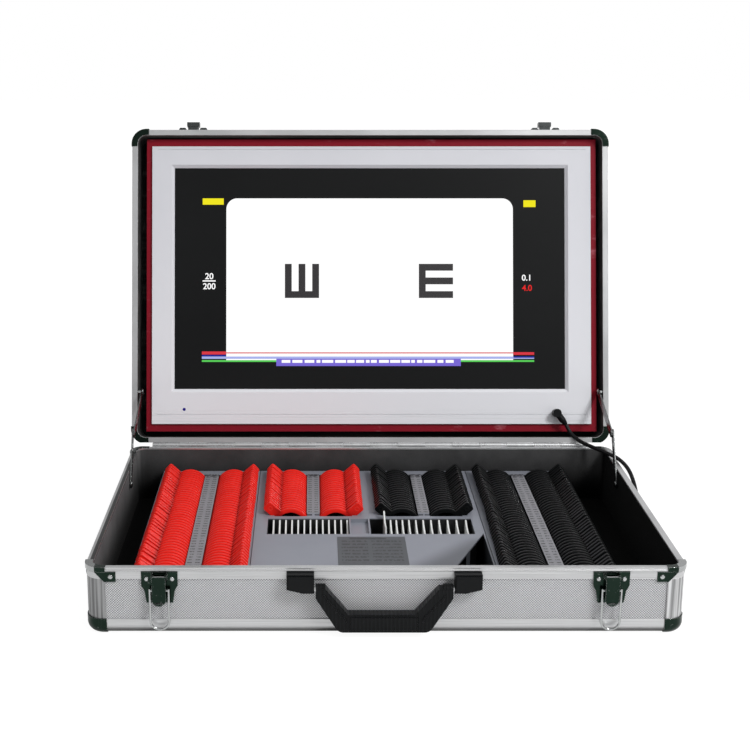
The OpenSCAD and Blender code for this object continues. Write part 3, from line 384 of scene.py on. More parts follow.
def tray(name, shaded):
    """Matt vacuum-formed tray, painted near black below its deck as painted shade in the wells; the centre one is
    darker towards its cut-away corner, a painted dark reflection.
    """
    mat, nt = tree(name)
    x, y, z = split(nt, spot(nt))
    cloud = noise(nt, spot(nt), 16, 3)
    fine = noise(nt, spot(nt), 1500, 2)
    colour = tint(nt, cloud, (0.19, 0.2, 0.235), (0.25, 0.262, 0.3))
    # painted shade: below the deck height the wells are coloured near black; in the pocket it starts lower
    deep = step(nt, z, 0.0345, 0.0357)
    if shaded:
        # the pocket keeps the deck's colour
        pocket = within(nt, x, POCKET_X, POCKET_HALF)
        deep = calc(nt, "MAXIMUM", deep, calc(nt, "MULTIPLY", pocket, step(nt, z, 0.0305, 0.0318)))
    colour = tint(nt, deep, (0.006, 0.006, 0.007), colour)
    if shaded:
        # painted dark reflection: the deck darkens towards the cut-away front corner
        corner = calc(nt, "SUBTRACT", calc(nt, "MULTIPLY", calc(nt, "SUBTRACT", x, 0.012), 0.74),
                      calc(nt, "MULTIPLY", calc(nt, "ADD", y, 0.105), 0.67))
        front = calc(nt, "SUBTRACT", 1.0, step(nt, y, -0.045, -0.028))
        dark = calc(nt, "MULTIPLY", calc(nt, "MULTIPLY", step(nt, corner, 0.0, 0.028), front), 0.72)
        colour = tint(nt, dark, colour, (0.045, 0.05, 0.058))
    surface(nt, colour, 0.4, 0.0, bump(nt, fine, 0.03, soft_edge(nt, 0.6)))
    return mat


def printed(name, ground, ink, pitch, columns, width, node):
    """A pale printed strip: one short row of figure-like marks for each lens, in columns."""
    mat, nt = tree(name)
    low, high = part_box(node)
    x, y, z = split(nt, spot(nt))
    row = calc(nt, "FRACT", calc(nt, "DIVIDE", calc(nt, "SUBTRACT", y, low.y), pitch * MM))
    band = between(nt, row, (0.2, 0.32), (0.6, 0.72))
    col = calc(nt, "FRACT", calc(nt, "DIVIDE", calc(nt, "SUBTRACT", x, low.x), width * MM / columns))
    inside = between(nt, col, (0.14, 0.2), (0.74, 0.8))
    mark = step(nt, noise(nt, stretched(nt, (1100, 300, 1)), 1, 1), 0.4, 0.46)
    header = calc(nt, "MULTIPLY", step(nt, y, high.y - 9 * MM, high.y - 8 * MM),
                  step(nt, noise(nt, spot(nt), 420, 1), 0.42, 0.5))
    fill = calc(nt, "MAXIMUM", calc(nt, "MULTIPLY", calc(nt, "MULTIPLY", band, inside), mark), header)
    cloud = noise(nt, spot(nt), 40, 3)
    base = tint(nt, cloud, ground, tuple(c * 1.25 for c in ground))
    surface(nt, tint(nt, calc(nt, "MULTIPLY", fill, 0.85), base, ink), 0.45, 0.0, soft_edge(nt, 0.3))
    return mat


def rating():
    """Plate with two columns of generic line marks and a heading bar."""
    mat, nt = tree("printed_plate")
    low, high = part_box("rating_plate")
    size = high - low
    x, y, z = split(nt, spot(nt))
    u = calc(nt, "DIVIDE", calc(nt, "SUBTRACT", x, low.x), size.x)
    v = calc(nt, "DIVIDE", calc(nt, "SUBTRACT", y, low.y), size.y)
    line = calc(nt, "FRACT", calc(nt, "MULTIPLY", v, 9.0))
    band = between(nt, line, (0.22, 0.3), (0.7, 0.78))
    body = between(nt, v, (0.06, 0.08), (0.86, 0.88))
    margin = between(nt, u, (0.05, 0.06), (0.93, 0.94))
    gap = calc(nt, "GREATER_THAN", calc(nt, "ABSOLUTE", calc(nt, "SUBTRACT", u, 0.47)), 0.03)
    word = step(nt, noise(nt, stretched(nt, (420, 130, 1)), 1, 1), 0.42, 0.48)
    stroke = step(nt, noise(nt, stretched(nt, (1500, 300, 1)), 1, 1), 0.3, 0.42)
    marks = band
    for part in (body, margin, gap, word, stroke):
        marks = calc(nt, "MULTIPLY", marks, part)
    head = calc(nt, "MULTIPLY", within(nt, v, 0.93, 0.024), within(nt, u, 0.45, 0.27))
    marks = calc(nt, "MAXIMUM", marks, calc(nt, "MULTIPLY", head, stroke))
    grain = noise(nt, stretched(nt, (30, 900, 30)), 1, 2)
    ground = tint(nt, grain, (0.045, 0.051, 0.057), (0.064, 0.071, 0.078))
    surface(nt, tint(nt, calc(nt, "MULTIPLY", marks, 0.9), ground, (0.006, 0.007, 0.009)), 0.4, 0.0,
            soft_edge(nt, 0.3))
    return mat


def lens_plastic(name, colour, deep, rim, valley, rough, shine):
    """Lens rim plastic: glossy, with painted highlights along its edges and painted shade in the valley beside the
    tabs.
    """
    mat, nt = tree(name)
    shade = put(nt, "Attribute", {"attribute_name": "valley"}).outputs["Fac"]
    cloud = noise(nt, spot(nt), 60, 3)
    fine = noise(nt, spot(nt), 1100, 2)
    edge = edge_highlight_and_wear(nt, 0.35, 2.5)
    c = tint(nt, cloud, deep, colour)
    # painted highlight: edges are coloured paler
    c = tint(nt, calc(nt, "MULTIPLY", edge, 0.5), c, rim)
    # painted shade: the valley beside the tabs is coloured darker
    c = tint(nt, calc(nt, "MULTIPLY", shade, 0.85), c, valley)
    r = calc(nt, "ADD", rough, calc(nt, "MULTIPLY", fine, 0.1))
    surface(nt, c, r, 0.0, bump(nt, fine, 0.02), Specular_IOR_Level=shine)
    return mat


def lens_glass():
    """Thin clear glass: a little reflection over whatever is behind it."""
    mat, nt = tree("lens_clear")
    smudge = noise(nt, spot(nt), 80, 3)
    clear = put(nt, "BsdfTransparent", Color=(0.6, 0.68, 0.66, 1))
    shine = put(nt, "BsdfGlossy", Color=(1, 1, 1, 1), Roughness=calc(nt, "MULTIPLY", smudge, 0.12))
    facing = put(nt, "LayerWeight", Blend=0.08).outputs["Fresnel"]
    output(nt, blend_shaders(nt, calc(nt, "MULTIPLY", facing, 0.6), clear, shine))
    return mat


def bezel():
    """Fine matt moulding with faint flow lines across its lower margin, painted lighter towards its lower edge as
    painted light.
    """
    mat, nt = tree("bezel_moulding")
    p = spot(nt)
    s = calc(nt, "SUBTRACT", vec(nt, "DOT_PRODUCT", p, LID_UP), BEZEL_LOW)
    x, y, z = split(nt, p)
    fine = noise(nt, p, 1300, 2)
    cloud = noise(nt, p, 11, 3)
    flow = put(nt, "CombineXYZ", X=calc(nt, "MULTIPLY", x, 6.0), Y=calc(nt, "MULTIPLY", s, 900.0))
    lines = noise(nt, flow.outputs[0], 1, 2)
    low = calc(nt, "SUBTRACT", 1.0, step(nt, s, 0.006, 0.02))
    colour = tint(nt, cloud, (0.535, 0.54, 0.575), (0.585, 0.59, 0.625))
    # painted light: lighter towards the lower edge
    colour = tint(nt, calc(nt, "SUBTRACT", 1.0, step(nt, s, -0.02, 0.3)), colour, (0.7, 0.705, 0.74))
    marked = calc(nt, "MULTIPLY", low, step(nt, lines, 0.5, 0.7))
    colour = tint(nt, calc(nt, "MULTIPLY", marked, 0.4), colour, (0.45, 0.47, 0.47))
    surface(nt, colour, 0.36, 0.0, bump(nt, fine, 0.02, soft_edge(nt, 0.5)))
    return mat


def display():
    """Switched-on display: near black, with a faint bloom of its backlight."""
    mat, nt = tree("display_black")
    cloud = noise(nt, stretched(nt, (4, 9, 9)), 1, 3)
    fine = noise(nt, spot(nt), 2500, 1)
    colour = tint(nt, cloud, (0.0035, 0.0038, 0.004), (0.008, 0.0085, 0.009))
    surface(nt, colour, calc(nt, "ADD", 0.3, calc(nt, "MULTIPLY", fine, 0.1)), 0.0, bump(nt, fine, 0.01),
            Specular_IOR_Level=0.14)
    return mat


def glowing(name, colour, strength, vary=0.04):
    """A lit part of the picture, with the faint unevenness of a backlight."""
    mat, nt = tree(name)
    cloud = noise(nt, spot(nt), 14, 2)
    c = tint(nt, cloud, tuple(v * (1 - vary) for v in colour), colour)
    output(nt, put(nt, "Emission", Color=c, Strength=strength))
    return mat


# noise scales along x, y and z, in parts per metre
DRAWN = (12, 12, 1900)
FLUTED = (420, 420, 8)
# dark green-black chrome colour: a painted dark reflection of the surroundings
PLATING = (0.011, 0.02, 0.015)
PLATING_HIGHLIGHT_AND_WEAR = (0.5, 0.52, 0.51)
LABEL_GROUND = (0.2, 0.2, 0.215)
LABEL_INK = (0.015, 0.015, 0.02)
LENS_PITCH = 6.7


def label(name, width, node):
    """Strip between two rows of lenses: two columns of marks, one row for each lens."""
    return printed(name, LABEL_GROUND, LABEL_INK, LENS_PITCH, 2, width, node)


# lens colours: body, deeper body, painted edge highlight, painted valley shade
RED = lens_plastic("lens_red", (0.82, 0.02, 0.012), (0.66, 0.008, 0.005), (1.0, 0.16, 0.12),
                   (0.2, 0.0, 0.0), 0.3, 0.18)
BLACK = lens_plastic("lens_black", (0.003, 0.0036, 0.004), (0.0015, 0.0018, 0.002), (0.03, 0.03, 0.03),
                     (0.0005, 0.0005, 0.0005), 0.24, 0.15)
CHROME = plated("bright_chrome", (0.32, 0.33, 0.33), (0.9, 0.9, 0.9), 0.1, 3)
DARK = plated("chrome_painted_dark_reflection", PLATING, PLATING_HIGHLIGHT_AND_WEAR, 0.16, 4)
STAY = plated("stay_steel", (0.13, 0.135, 0.135), (0.75, 0.75, 0.75), 0.14, 3, 0.3)
PLASTIC = moulded("black_moulding", (0.0035, 0.004, 0.0045), 0.4, 900, 0.04, 0.6, 0.0, 0.2, 0.14)
CABLE = moulded("cable_sheath", (0.003, 0.003, 0.0035), 0.42, 1400, 0.02, 0.3, 0.0, 0.2, 0.2)

finishes = {
    "embossed_panel": embossed("embossed_base", False),
    "board_stock": moulded("black_board", (0.02, 0.02, 0.022), 0.7, 500, 0.1),
    "black_liner": liner(),
    "extrusion": extrusion("satin_anodised", 0.5, 0.64, DRAWN),
    "dark_plating": DARK,
    "bright_plating": CHROME,
    "hinge_steel": plated("zinc_plate", (0.45, 0.455, 0.46), (0.9, 0.9, 0.9), 0.22, 4),
    "black_plastic": PLASTIC,
    "grey_tray": tray("tray_grey", False),
    "label_grey": label("label_print", 14.7, "label_strip_left"),
    "comb_white": moulded("comb_moulding", (0.72, 0.73, 0.72), 0.4, 900, 0.02, 0.3, 0.0, 0.05),
    "plate_grey": rating(),
    "rim_red": RED,
    "rim_black": BLACK,
    "lens_glass": lens_glass(),
    "crimson_fabric": crimson(),
    "bezel_grey": bezel(),
    "screen_black": display(),
    "board_green": moulded("solder_mask", (0.02, 0.12, 0.05), 0.35, 700, 0.04),
    "cable_rubber": CABLE,
}
LID_PANEL = embossed("embossed_lid", True)
LID_NAP = lid_liner()
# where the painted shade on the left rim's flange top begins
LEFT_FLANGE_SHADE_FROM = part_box("base_rim_frame")[0].x + 3.0 * MM
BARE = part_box("base_rim_frame")[1].x - 9.5 * MM
own = {
    "base_rim_frame": extrusion("satin_rim", 0.46, 0.6, DRAWN, left_flange_shade_from=LEFT_FLANGE_SHADE_FROM),
    "base_rim_brackets": plated("bracket_plating", PLATING, PLATING_HIGHLIGHT_AND_WEAR, 0.18, 4, bare=BARE),
    "base_foot_frame": extrusion("satin_foot", 0.5, 0.64, DRAWN, under=True),
    # fluted posts: the strong dark and light stripes are painted shade and painted highlight on the flutes
    "base_corner_posts": extrusion("fluted_post", 0.22, 0.7, FLUTED, shade_left=True),
    "lid_corner_posts": extrusion("fluted_lid_post", 0.22, 0.66, FLUTED, lid=True),
    "lid_rim_frame": extrusion("satin_lid_rim", 0.46, 0.6, DRAWN, lid=True),
    "lid_edge_frame": extrusion("satin_lid_edge", 0.5, 0.64, DRAWN, lid=True),
    **{f"stay_{part}_{side}": STAY for part in ("lower", "upper") for side in ("left", "right")},
    "handle": moulded("ribbed_grip", (0.003, 0.0034, 0.0038), 0.34, 900, 0.06, 0.8, 0.0, 0.2, 0.14, 3.4),
    "lid_catches": plated("catch_plating", (0.06, 0.065, 0.065), (0.75, 0.75, 0.75), 0.2, 4),
    "lid_wall_panels": LID_PANEL,
    "lid_top_panel": LID_PANEL,
    "lid_lining": LID_NAP,
    "tray_centre": tray("tray_grey_centre", True),
    "label_strip_right": label("label_print_right", 13.9, "label_strip_right"),
    "label_strips_centre": label("label_print_centre", 13.0, "label_strips_centre"),
}


def dress(obj, mat):
    obj.data.materials.clear()
    obj.data.materials.append(mat)


for part in frame["record"]["subparts"]:
    dress(nodes[part["node"]], own.get(part["node"], finishes[part["material_slot"]]))


def make(name, verts, faces, mat, body, smooth=None):
    """A mesh piece that rides on a body; smooth is the angle up to which its faces shade as one."""
    mesh = bpy.data.meshes.new(name)
    mesh.from_pydata([tuple(v) for v in verts], [], [tuple(f) for f in faces])
    mesh.update()
    obj = bpy.data.objects.new(name, mesh)
    bpy.context.scene.collection.objects.link(obj)
    mesh.materials.append(mat)
    if smooth is not None:
        mesh.polygons.foreach_set("use_smooth", [True] * len(mesh.polygons))
        mesh.set_sharp_from_angle(angle=math.radians(smooth))
    if body:
        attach(obj, body)
    return obj


# ---------------------------------------------------------------- lenses
RIM_R = 19 * MM
PITCH = LENS_PITCH * MM
# the rim's section as (radius, y) in mm
RING = [(14.4, -1.5), (15.1, -2.0), (17.9, -2.0), (18.6, -1.75), (18.95, -1.2), (18.95, 1.2), (18.6, 1.75),
        (17.9, 2.0), (15.1, 2.0), (14.4, 1.5)]
RING_STEPS = 56
# the tab: lean in degrees, the rest in mm
TAB_LEAN = 48.5
TAB_END = 33.3
TAB_HALF = 5.2
TAB_ROUND = 2.2
TAB_THICK = 1.9
TAB_EDGE = 0.45
TAB_FOOT = 17.2
TAB_WAIST = 22.5
# angular half width of the painted shade on the ring beside each tab
VALLEY_SHADE_HALF = math.radians(24)


def ring_mesh():
    verts, faces = [], []
    n = len(RING)
    for i in range(RING_STEPS):
        a = 2 * math.pi * i / RING_STEPS
        for r, y in RING:
            verts.append((r * math.cos(a), y, r * math.sin(a)))
    for i in range(RING_STEPS):
        j = (i + 1) % RING_STEPS
        for k in range(n):
            m = (k + 1) % n
            faces.append((i * n + k, j * n + k, j * n + m, i * n + m))
    return np.array(verts), faces


def tab_mesh():
    """Upright tab with rounded corners and edges, and a raised ring on its front face."""
    def outline(inset):
        half, end, r = TAB_HALF - inset, TAB_END - inset, TAB_ROUND - inset
        pts = [(-half, TAB_WAIST), (-half, TAB_FOOT), (half, TAB_FOOT), (half, TAB_WAIST)]
        for cx, start in ((half - r, 0), (-half + r, 90)):
            for i in range(6):
                a = math.radians(start + 18 * i)
                pts.append((cx + r * math.cos(a), end - r + r * math.sin(a)))
        return pts

    verts, faces = [], []
    layers = [(TAB_EDGE, -TAB_THICK), (0, TAB_EDGE - TAB_THICK), (0, TAB_THICK - TAB_EDGE), (TAB_EDGE, TAB_THICK)]
    for inset, y in layers:
        verts += [(x, y, z) for x, z in outline(inset)]
    n = len(outline(0))
    for layer in range(3):
        for k in range(n):
            m = (k + 1) % n
            faces.append((layer * n + k, layer * n + m, layer * n + n + m, layer * n + n + k))
    faces.append(tuple(reversed(range(n))))
    faces.append(tuple(range(3 * n, 4 * n)))
    base = len(verts)
    steps, z0 = 14, TAB_END - 5.4
    rings = [(2.5, -TAB_THICK), (2.4, -TAB_THICK - 0.3), (1.6, -TAB_THICK - 0.3), (1.5, -TAB_THICK)]
    for r, y in rings:
        for i in range(steps):
            a = 2 * math.pi * i / steps
            verts.append((r * math.cos(a), y, z0 + r * math.sin(a)))
    for layer in range(3):
        for k in range(steps):
            m = (k + 1) % steps
            near_ring, far_ring = base + layer * steps, base + (layer + 1) * steps
            faces.append((near_ring + k, near_ring + m, far_ring + m, far_ring + k))
    return np.array(verts), faces


RING_V, RING_F = ring_mesh()
TAB_V, TAB_F = tab_mesh()


def lens_places(node):
    """(x, y, z, side) in metres of each rim in a node, read from its points; side is the way its tab leans."""
    co = np.array([v.co for v in nodes[node].data.vertices])
    low_z = co[:, 2].min()
    deep = co[:, 1].max() - co[:, 1].min()
    count = int(deep / PITCH) + 1
    thick = deep - (count - 1) * PITCH
    starts = [co[:, 1].max() - thick - i * PITCH for i in range(count)]
    ends = [y + thick for y in starts]
    places = []
    for y0, y1 in zip(starts, ends):
        here = co[(co[:, 1] >= y0 - 1e-5) & (co[:, 1] <= y1 + 1e-5)]
        middle = (here[:, 0].min() + here[:, 0].max()) / 2
        spread = here[:, 0].max() - here[:, 0].min()
        y = (y0 + y1) / 2
        if spread > 0.08:
            left, right = here[here[:, 0] < middle], here[here[:, 0] > middle]
            places.append((left[:, 0].max() - RIM_R, y, low_z + RIM_R, -1))
            places.append((right[:, 0].min() + RIM_R, y, low_z + RIM_R, 1))
        else:
            low = here[here[:, 2] < low_z + RIM_R]
            centre = (low[:, 0].min() + low[:, 0].max()) / 2
            side = -1 if centre > middle else 1
            edge = here[:, 0].max() - RIM_R if side < 0 else here[:, 0].min() + RIM_R
            places.append((edge, y, low_z + RIM_R, side))
    return places


def more_lean(group, side, share):
    """Extra lean in degrees: the outer tabs have been pushed over towards the front."""
    if group == "left" and side < 0:
        return 7 * share
    if group == "right":
        return (11 if side < 0 else 3) * share
    return 0


def lens_group(name, node, group, mat, body, seed):
    rng = random.Random(seed)
    verts, faces, shades = [], [], []
    places = lens_places(node)
    ys = [p[1] for p in places]
    span = max(max(ys) - min(ys), MM)
    count = 0
    for x, y, z, side in places:
        share = max(0.0, (max(ys) - y) / span * 1.6 - 0.6) if len(places) > 1 else 0
        jitter = 1.1 + 2.2 * (share if group == "left" and side < 0 else 0)
        lean = TAB_LEAN + more_lean(group, side, share) + rng.uniform(-jitter, jitter * 0.4)
        a = math.radians(side * lean)
        spin = math.radians(rng.uniform(0, 360 / RING_STEPS))
        turn = np.array([[math.cos(a), 0, math.sin(a)], [0, 1, 0], [-math.sin(a), 0, math.cos(a)]])
        roll = np.array([[math.cos(spin), 0, math.sin(spin)], [0, 1, 0], [-math.sin(spin), 0, math.cos(spin)]])
        for v, f, r in ((RING_V, RING_F, roll), (TAB_V, TAB_F, turn)):
            moved = (v @ r.T) * MM + np.array([x, y, z])
            verts.append(moved)
            # painted shade weights: tab feet, and the part of the ring beside the tab
            if v is TAB_V:
                shades.append(np.where(v[:, 2] < TAB_FOOT + 1, 1.0, 0.0))
            else:
                turned = v @ r.T
                off = np.abs(np.arctan2(turned[:, 0], turned[:, 2]) - a)
                shades.append(np.clip(1 - off / VALLEY_SHADE_HALF, 0, 1))
            faces += [tuple(i + count for i in face) for face in f]
            count += len(v)
    obj = make(name, np.concatenate(verts), faces, mat, body, 35)
    valley = obj.data.attributes.new("valley", "FLOAT", "POINT")
    valley.data.foreach_set("value", np.concatenate(shades))
    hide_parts(node)


lens_group("lenses_left", "rims_left", "left", RED, "rack_left", 11)
lens_group("lenses_centre_red", "rims_centre_red", "centre", RED, "rack_centre", 12)
lens_group("lenses_centre_black", "rims_centre_black", "centre", BLACK, "rack_centre", 13)
lens_group("lenses_right", "rims_right", "right", BLACK, "rack_right", 14)
lens_group("loose_lens", "loose_lens_rim", "centre", RED, "loose_lens", 15)

# ---------------------------------------------------------------- the chart on the screen
WHITE = glowing("picture_white", (1.0, 1.0, 1.0), 1.05, 0.02)
INK = moulded("picture_ink", (0.012, 0.01, 0.012), 0.5, 900, 0.01)
YELLOW = glowing("picture_yellow", (0.95, 0.85, 0.02), 0.95)
LINE_RED = glowing("picture_red", (0.8, 0.05, 0.07), 0.9)
LINE_BLUE = glowing("picture_blue", (0.02, 0.03, 0.35), 0.9)
LINE_PALE = glowing("picture_pale_blue", (0.45, 0.5, 0.95), 0.9)
LINE_GREEN = glowing("picture_green", (0.12, 0.72, 0.12), 0.9)
VIOLET = glowing("picture_violet", (0.22, 0.16, 0.75), 0.9)
FIGURE_RED = glowing("picture_figure_red", (0.85, 0.03, 0.03), 0.95)


PRINT_THICK = 0.08


def plates(name, outlines, lift, mat):
    """Thin slabs on the display, one from each outline of (x, s) points in mm."""
    verts, faces = [], []
    for points in outlines:
        first, n = len(verts), len(points)
        verts += [on_lid(x, s, PANEL_FRONT, lift) for x, s in points]
        verts += [on_lid(x, s, PANEL_FRONT, lift - PRINT_THICK) for x, s in points]
        faces.append(range(first, first + n))
        faces.append(reversed(range(first + n, first + 2 * n)))
        for k in range(n):
            m = (k + 1) % n
            faces.append((first + k, first + n + k, first + n + m, first + m))
    return make(name, verts, faces, mat, "lid")


def box_outline(x0, x1, s0, s1):
    return [(x0, s0), (x1, s0), (x1, s1), (x0, s1)]


def bars(name, spans, lift, mat):
    return plates(name, [box_outline(*span) for span in spans], lift, mat)


def rounded(x0, x1, s0, s1, r, r_low):
    pts = []
    corners = ((x1 - r_low, s0 + r_low, r_low, 270), (x1 - r, s1 - r, r, 0),
               (x0 + r, s1 - r, r, 90), (x0 + r_low, s0 + r_low, r_low, 180))
    for cx, cs, rr, start in corners:
        for i in range(13):
            a = math.radians(start + 7.5 * i)
            pts.append((cx + rr * math.cos(a), cs + rr * math.sin(a)))
    return pts


plates("chart_field", [rounded(-159.6, 159.2, 90.3, 271.3, 12, 0.6)], 0.15, WHITE)


def optotype(x, s, size, turns):
    """Outline of the three-legged figure of an acuity chart on its 5 by 5 grid, by quarter turns."""
    outline = [(0, 0), (5, 0), (5, 1), (1, 1), (1, 2), (5, 2), (5, 3), (1, 3), (1, 4), (5, 4), (5, 5), (0, 5)]
    pts = []
    for u, v in outline:
        u, v = u - 2.5, v - 2.5
        for _ in range(turns):
            u, v = -v, u
        pts.append((x + u * size / 5, s + v * size / 5))
    return pts


OPTOTYPE_S = 179.3
OPTOTYPE_SIZE = 38
both = [optotype(x, OPTOTYPE_S, OPTOTYPE_SIZE, turns) for x, turns in ((-75.5, 1), (73.5, 0))]
plates("optotypes", both, 0.3, INK)
bars("keys", [(-186, -162.6, 264.3, 271.3), (171, 184.5, 261.6, 269.2)], 0.15, YELLOW)
bars("rule_red", [(-160, 159.5, 98.6, 99.8), (-186.7, -160, 97.4, 100.8), (159.5, 182.5, 97.0, 100.0)],
     0.34, LINE_RED)
bars("rule_blue", [(-186.7, -160, 95.4, 97.0), (159.5, 182.5, 93.8, 95.4)], 0.3, LINE_BLUE)
bars("rule_pale", [(-186.7, 182.5, 92.6, 95.2)], 0.26, LINE_PALE)
bars("rule_green", [(-186.7, 182.5, 89.2, 91.2)], 0.38, LINE_GREEN)
bars("ticker_band", [(-104, 101, 84.6, 92.8)], 0.45, VIOLET)
ticks = random.Random(5)
marks = []
at = -98.0
while at < 94:
    wide = ticks.uniform(4, 13)
    marks.append(box_outline(at, min(at + wide, 98), 88.2, 91.4))
    at += wide + ticks.uniform(1.2, 2.6)
plates("ticker_marks", marks, 0.55, WHITE)


def figures(name, text, x, s, height, mat):
    """Plain figures, as on any acuity chart, as thin solids on the display."""
    curve = bpy.data.curves.new(name, "FONT")
    curve.body = text
    curve.size = height * MM / 0.7
    curve.align_x = "CENTER"
    curve.extrude = 0.04 * MM
    curve.offset = 0.16 * MM
    source = bpy.data.objects.new(name + "_curve", curve)
    bpy.context.scene.collection.objects.link(source)
    bpy.context.view_layer.update()
    mesh = bpy.data.meshes.new_from_object(source)
    bpy.data.objects.remove(source)
    place = Matrix.Identity(4)
    right = Vector((1, 0, 0))
    for i, axis in enumerate((right, LID_UP, right.cross(LID_UP))):
        place.col[i] = (*axis, 0)
    place.translation = on_lid(x, s, PANEL_FRONT, 0.2)
    mesh.transform(place)
    obj = bpy.data.objects.new(name, mesh)
    bpy.context.scene.collection.objects.link(obj)
    mesh.materials.clear()
    mesh.materials.append(mat)
    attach(obj, "lid")


figures("figure_over", "20", -178.6, 181.4, 6.6, WHITE)
bars("fraction_line", [(-186, -171.5, 178.6, 180.0)], 0.2, WHITE)
figures("figure_under", "200", -178.6, 170.2, 6.6, WHITE)
figures("figure_decimal", "0.1", 174.5, 179.8, 6.4, WHITE)
figures("figure_log", "4.0", 174.8, 168.4, 6.4, FIGURE_RED)


def dome(name, centre, normal, radius, height, mat, body):
    """A low button with a rounded edge."""
    n = Vector(normal).normalized()
    u = n.orthogonal().normalized()
    v = n.cross(u)
    rings = [(1.0, 0.0), (1.0, 0.45), (0.9, 0.8), (0.65, 1.0), (0.0, 1.0)]
    steps = 24
    verts, faces = [], []
    for r, h in rings[:-1]:
        for i in range(steps):
            a = 2 * math.pi * i / steps
            verts.append(centre + (u * math.cos(a) + v * math.sin(a)) * r * radius * MM + n * h * height * MM)
    verts.append(centre + n * height * MM)
    for layer in range(len(rings) - 2):
        for k in range(steps):
            m = (k + 1) % steps
            faces.append((layer * steps + k, layer * steps + m, (layer + 1) * steps + m, (layer + 1) * steps + k))
    top = (len(rings) - 2) * steps
    faces += [(top + k, top + (k + 1) % steps, len(verts) - 1) for k in range(steps)]
    return make(name, verts, faces, mat, body, 50)


POWER_LIGHT = glowing("indicator_blue", (0.02, 0.015, 0.22), 0.8)
dome("indicator_light", on_lid(-206, 36.5, BEZEL_FRONT, 0.0), -LID_IN, 1.7, 0.5, POWER_LIGHT, "lid")

# ---------------------------------------------------------------- cable
def centre_line(points, steps):
    """Smooth path through the given points (Catmull-Rom)."""
    pts = [points[0] * 2 - points[1]] + points + [points[-1] * 2 - points[-2]]
    path = []
    for i in range(1, len(pts) - 2):
        p0, p1, p2, p3 = pts[i - 1 : i + 3]
        for k in range(steps):
            t = k / steps
            path.append(0.5 * (2 * p1 + (p2 - p0) * t + (2 * p0 - 5 * p1 + 4 * p2 - p3) * t * t
                               + (3 * p1 - p0 - 3 * p2 + p3) * t ** 3))
    path.append(pts[-2])
    return path


def tube(name, path, radii, mat, sides=14):
    verts, faces = [], []
    side = Vector((0, 0, 1))
    for i, p in enumerate(path):
        ahead = (path[min(i + 1, len(path) - 1)] - path[max(i - 1, 0)]).normalized()
        side = (side - ahead * side.dot(ahead)).normalized()
        other = ahead.cross(side)
        for k in range(sides):
            a = 2 * math.pi * k / sides
            verts.append(p + (side * math.cos(a) + other * math.sin(a)) * radii[i])
    for i in range(len(path) - 1):
        for k in range(sides):
            m = (k + 1) % sides
            faces.append((i * sides + k, i * sides + m, (i + 1) * sides + m, (i + 1) * sides + k))
    faces.append(tuple(reversed(range(sides))))
    faces.append(tuple(range((len(path) - 1) * sides, len(path) * sides)))
    return make(name, verts, faces, mat, None, 40)


CABLE_R = 2.1 * MM
# the cable's path in mm, from the plug over the rear right corner to the ground
RAW = [(216.05, 182.95, 83.6), (221, 178.5, 75.5), (229, 170, 69.5), (240, 158, 66.6), (252, 140, 65.6),
       (261.5, 117, 65.4), (266.5, 92, 62), (268.5, 70, 52), (269, 54, 36), (269.5, 44, 18), (270.5, 34, 6),
       (272, 20, 2.1), (274, 0, 2.1)]
line = centre_line([Vector(p) * MM for p in RAW], 8)
# points of the line where the two pieces meet, and a point further along the second piece
SPLIT = 9
LET_GO = 26
near = line[: SPLIT + 1]
far = line[SPLIT:]
near_piece = tube("cable_at_plug", near, [CABLE_R] * len(near), CABLE)
tuple(near[0])
tuple(near[-1])
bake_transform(near_piece)
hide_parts("power_cable")
far_piece = tube("cable_run", far, [CABLE_R] * len(far), CABLE)
tuple(far[0])
tuple(far[LET_GO])
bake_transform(far_piece)

# ---------------------------------------------------------------- camera, light, floor
# the photo's width, focal length and the column its axis goes through, in pixels
PHOTO = 750
FOCAL = 1402.26
AXIS_X = 312.3
TILT = 14.72
SENSOR = 36
cam_data = bpy.data.cameras.new("camera")
cam = bpy.data.objects.new("camera", cam_data)
bpy.context.scene.collection.objects.link(cam)
cam_data.sensor_width = SENSOR
cam_data.lens = FOCAL / PHOTO * SENSOR
cam_data.shift_x = (PHOTO / 2 - AXIS_X) / PHOTO
cam_data.clip_end = 20
cam.location = (-0.0640, -1.2997, 0.5302)
cam.rotation_euler = (math.radians(90 - TILT), 0, 0)
bpy.context.scene.camera = cam

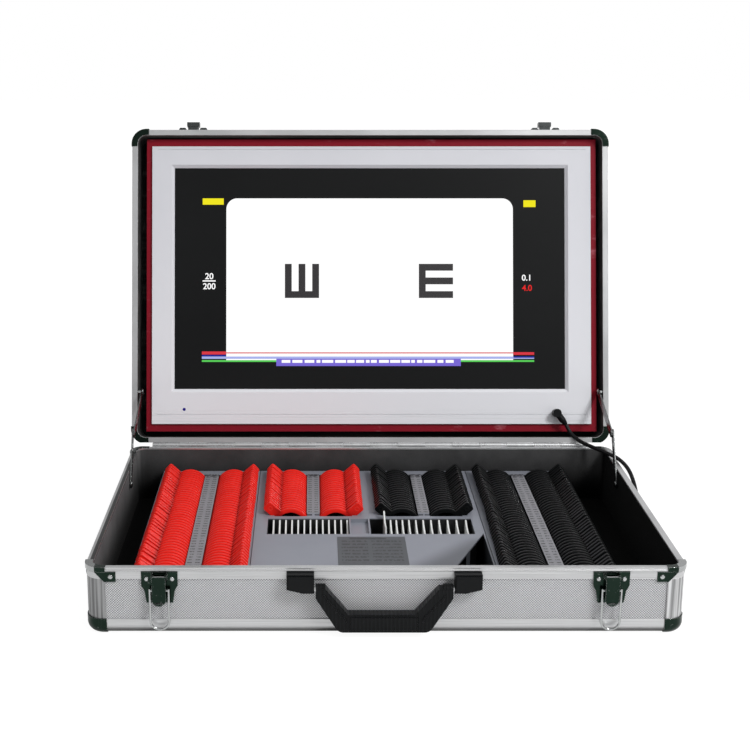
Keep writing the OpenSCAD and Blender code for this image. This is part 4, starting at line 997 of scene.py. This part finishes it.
mat, nt = tree("floor_white")
speck = noise(nt, spot(nt), 3, 2)
diffuse = put(nt, "BsdfDiffuse", Color=tint(nt, speck, (0.93, 0.93, 0.93), (0.96, 0.96, 0.96)))
glow = put(nt, "Emission", Color=(1, 1, 1, 1), Strength=1.12)
seen = put(nt, "LightPath").outputs["Is Camera Ray"]
output(nt, blend_shaders(nt, calc(nt, "MULTIPLY", seen, 0.84), diffuse, glow))
bpy.ops.mesh.primitive_plane_add(size=14, location=(0, 0, -0.0005))
floor = bpy.context.object
floor.name = "floor"
floor.data.materials.append(mat)


def area(name, loc, target, size, energy):
    lamp = bpy.data.lights.new(name, "AREA")
    lamp.energy = energy
    lamp.size = size
    o = bpy.data.objects.new(name, lamp)
    bpy.context.scene.collection.objects.link(o)
    o.location = loc
    o.rotation_mode = "QUATERNION"
    o.rotation_quaternion = (Vector(target) - Vector(loc)).to_track_quat("-Z", "Y")


area("key", (1.8, -1.9, 2.4), (0, 0, 0.1), 0.8, 74)
area("fill", (-2.2, -2.2, 1.5), (0, 0, 0.1), 1.6, 6)

world = bpy.data.worlds.new("world")
world.use_nodes = True
nt = world.node_tree
nt.nodes.clear()
up = put(nt, "SeparateXYZ", Vector=put(nt, "TexCoord").outputs["Generated"]).outputs[2]
ramp = nt.nodes.new("ShaderNodeValToRGB")
ramp.color_ramp.elements[0].position = 0.46
ramp.color_ramp.elements[0].color = (0.45, 0.45, 0.46, 1)
ramp.color_ramp.elements[1].position = 0.75
ramp.color_ramp.elements[1].color = (0.95, 0.95, 0.95, 1)
e = ramp.color_ramp.elements.new(0.53)
e.color = (0.2, 0.2, 0.21, 1)
nt.links.new(calc(nt, "MULTIPLY_ADD", up, 0.5, 0.5), ramp.inputs[0])
seen = put(nt, "LightPath").outputs["Is Camera Ray"]
across = put(nt, "SeparateXYZ", Vector=put(nt, "TexCoord").outputs["Generated"]).outputs[0]
level = calc(nt, "MULTIPLY_ADD", step(nt, across, -0.45, 0.5), 0.72, 0.42)
dimmed = tint(nt, level, (0, 0, 0), ramp.outputs[0])
b = put(nt, "Background", Color=tint(nt, seen, dimmed, (1, 1, 1)), Strength=1.0)
out = nt.nodes.new("ShaderNodeOutputWorld")
nt.links.new(b.outputs[0], out.inputs[0])
bpy.context.scene.world = world
bpy.context.scene.view_settings.view_transform = "Standard"
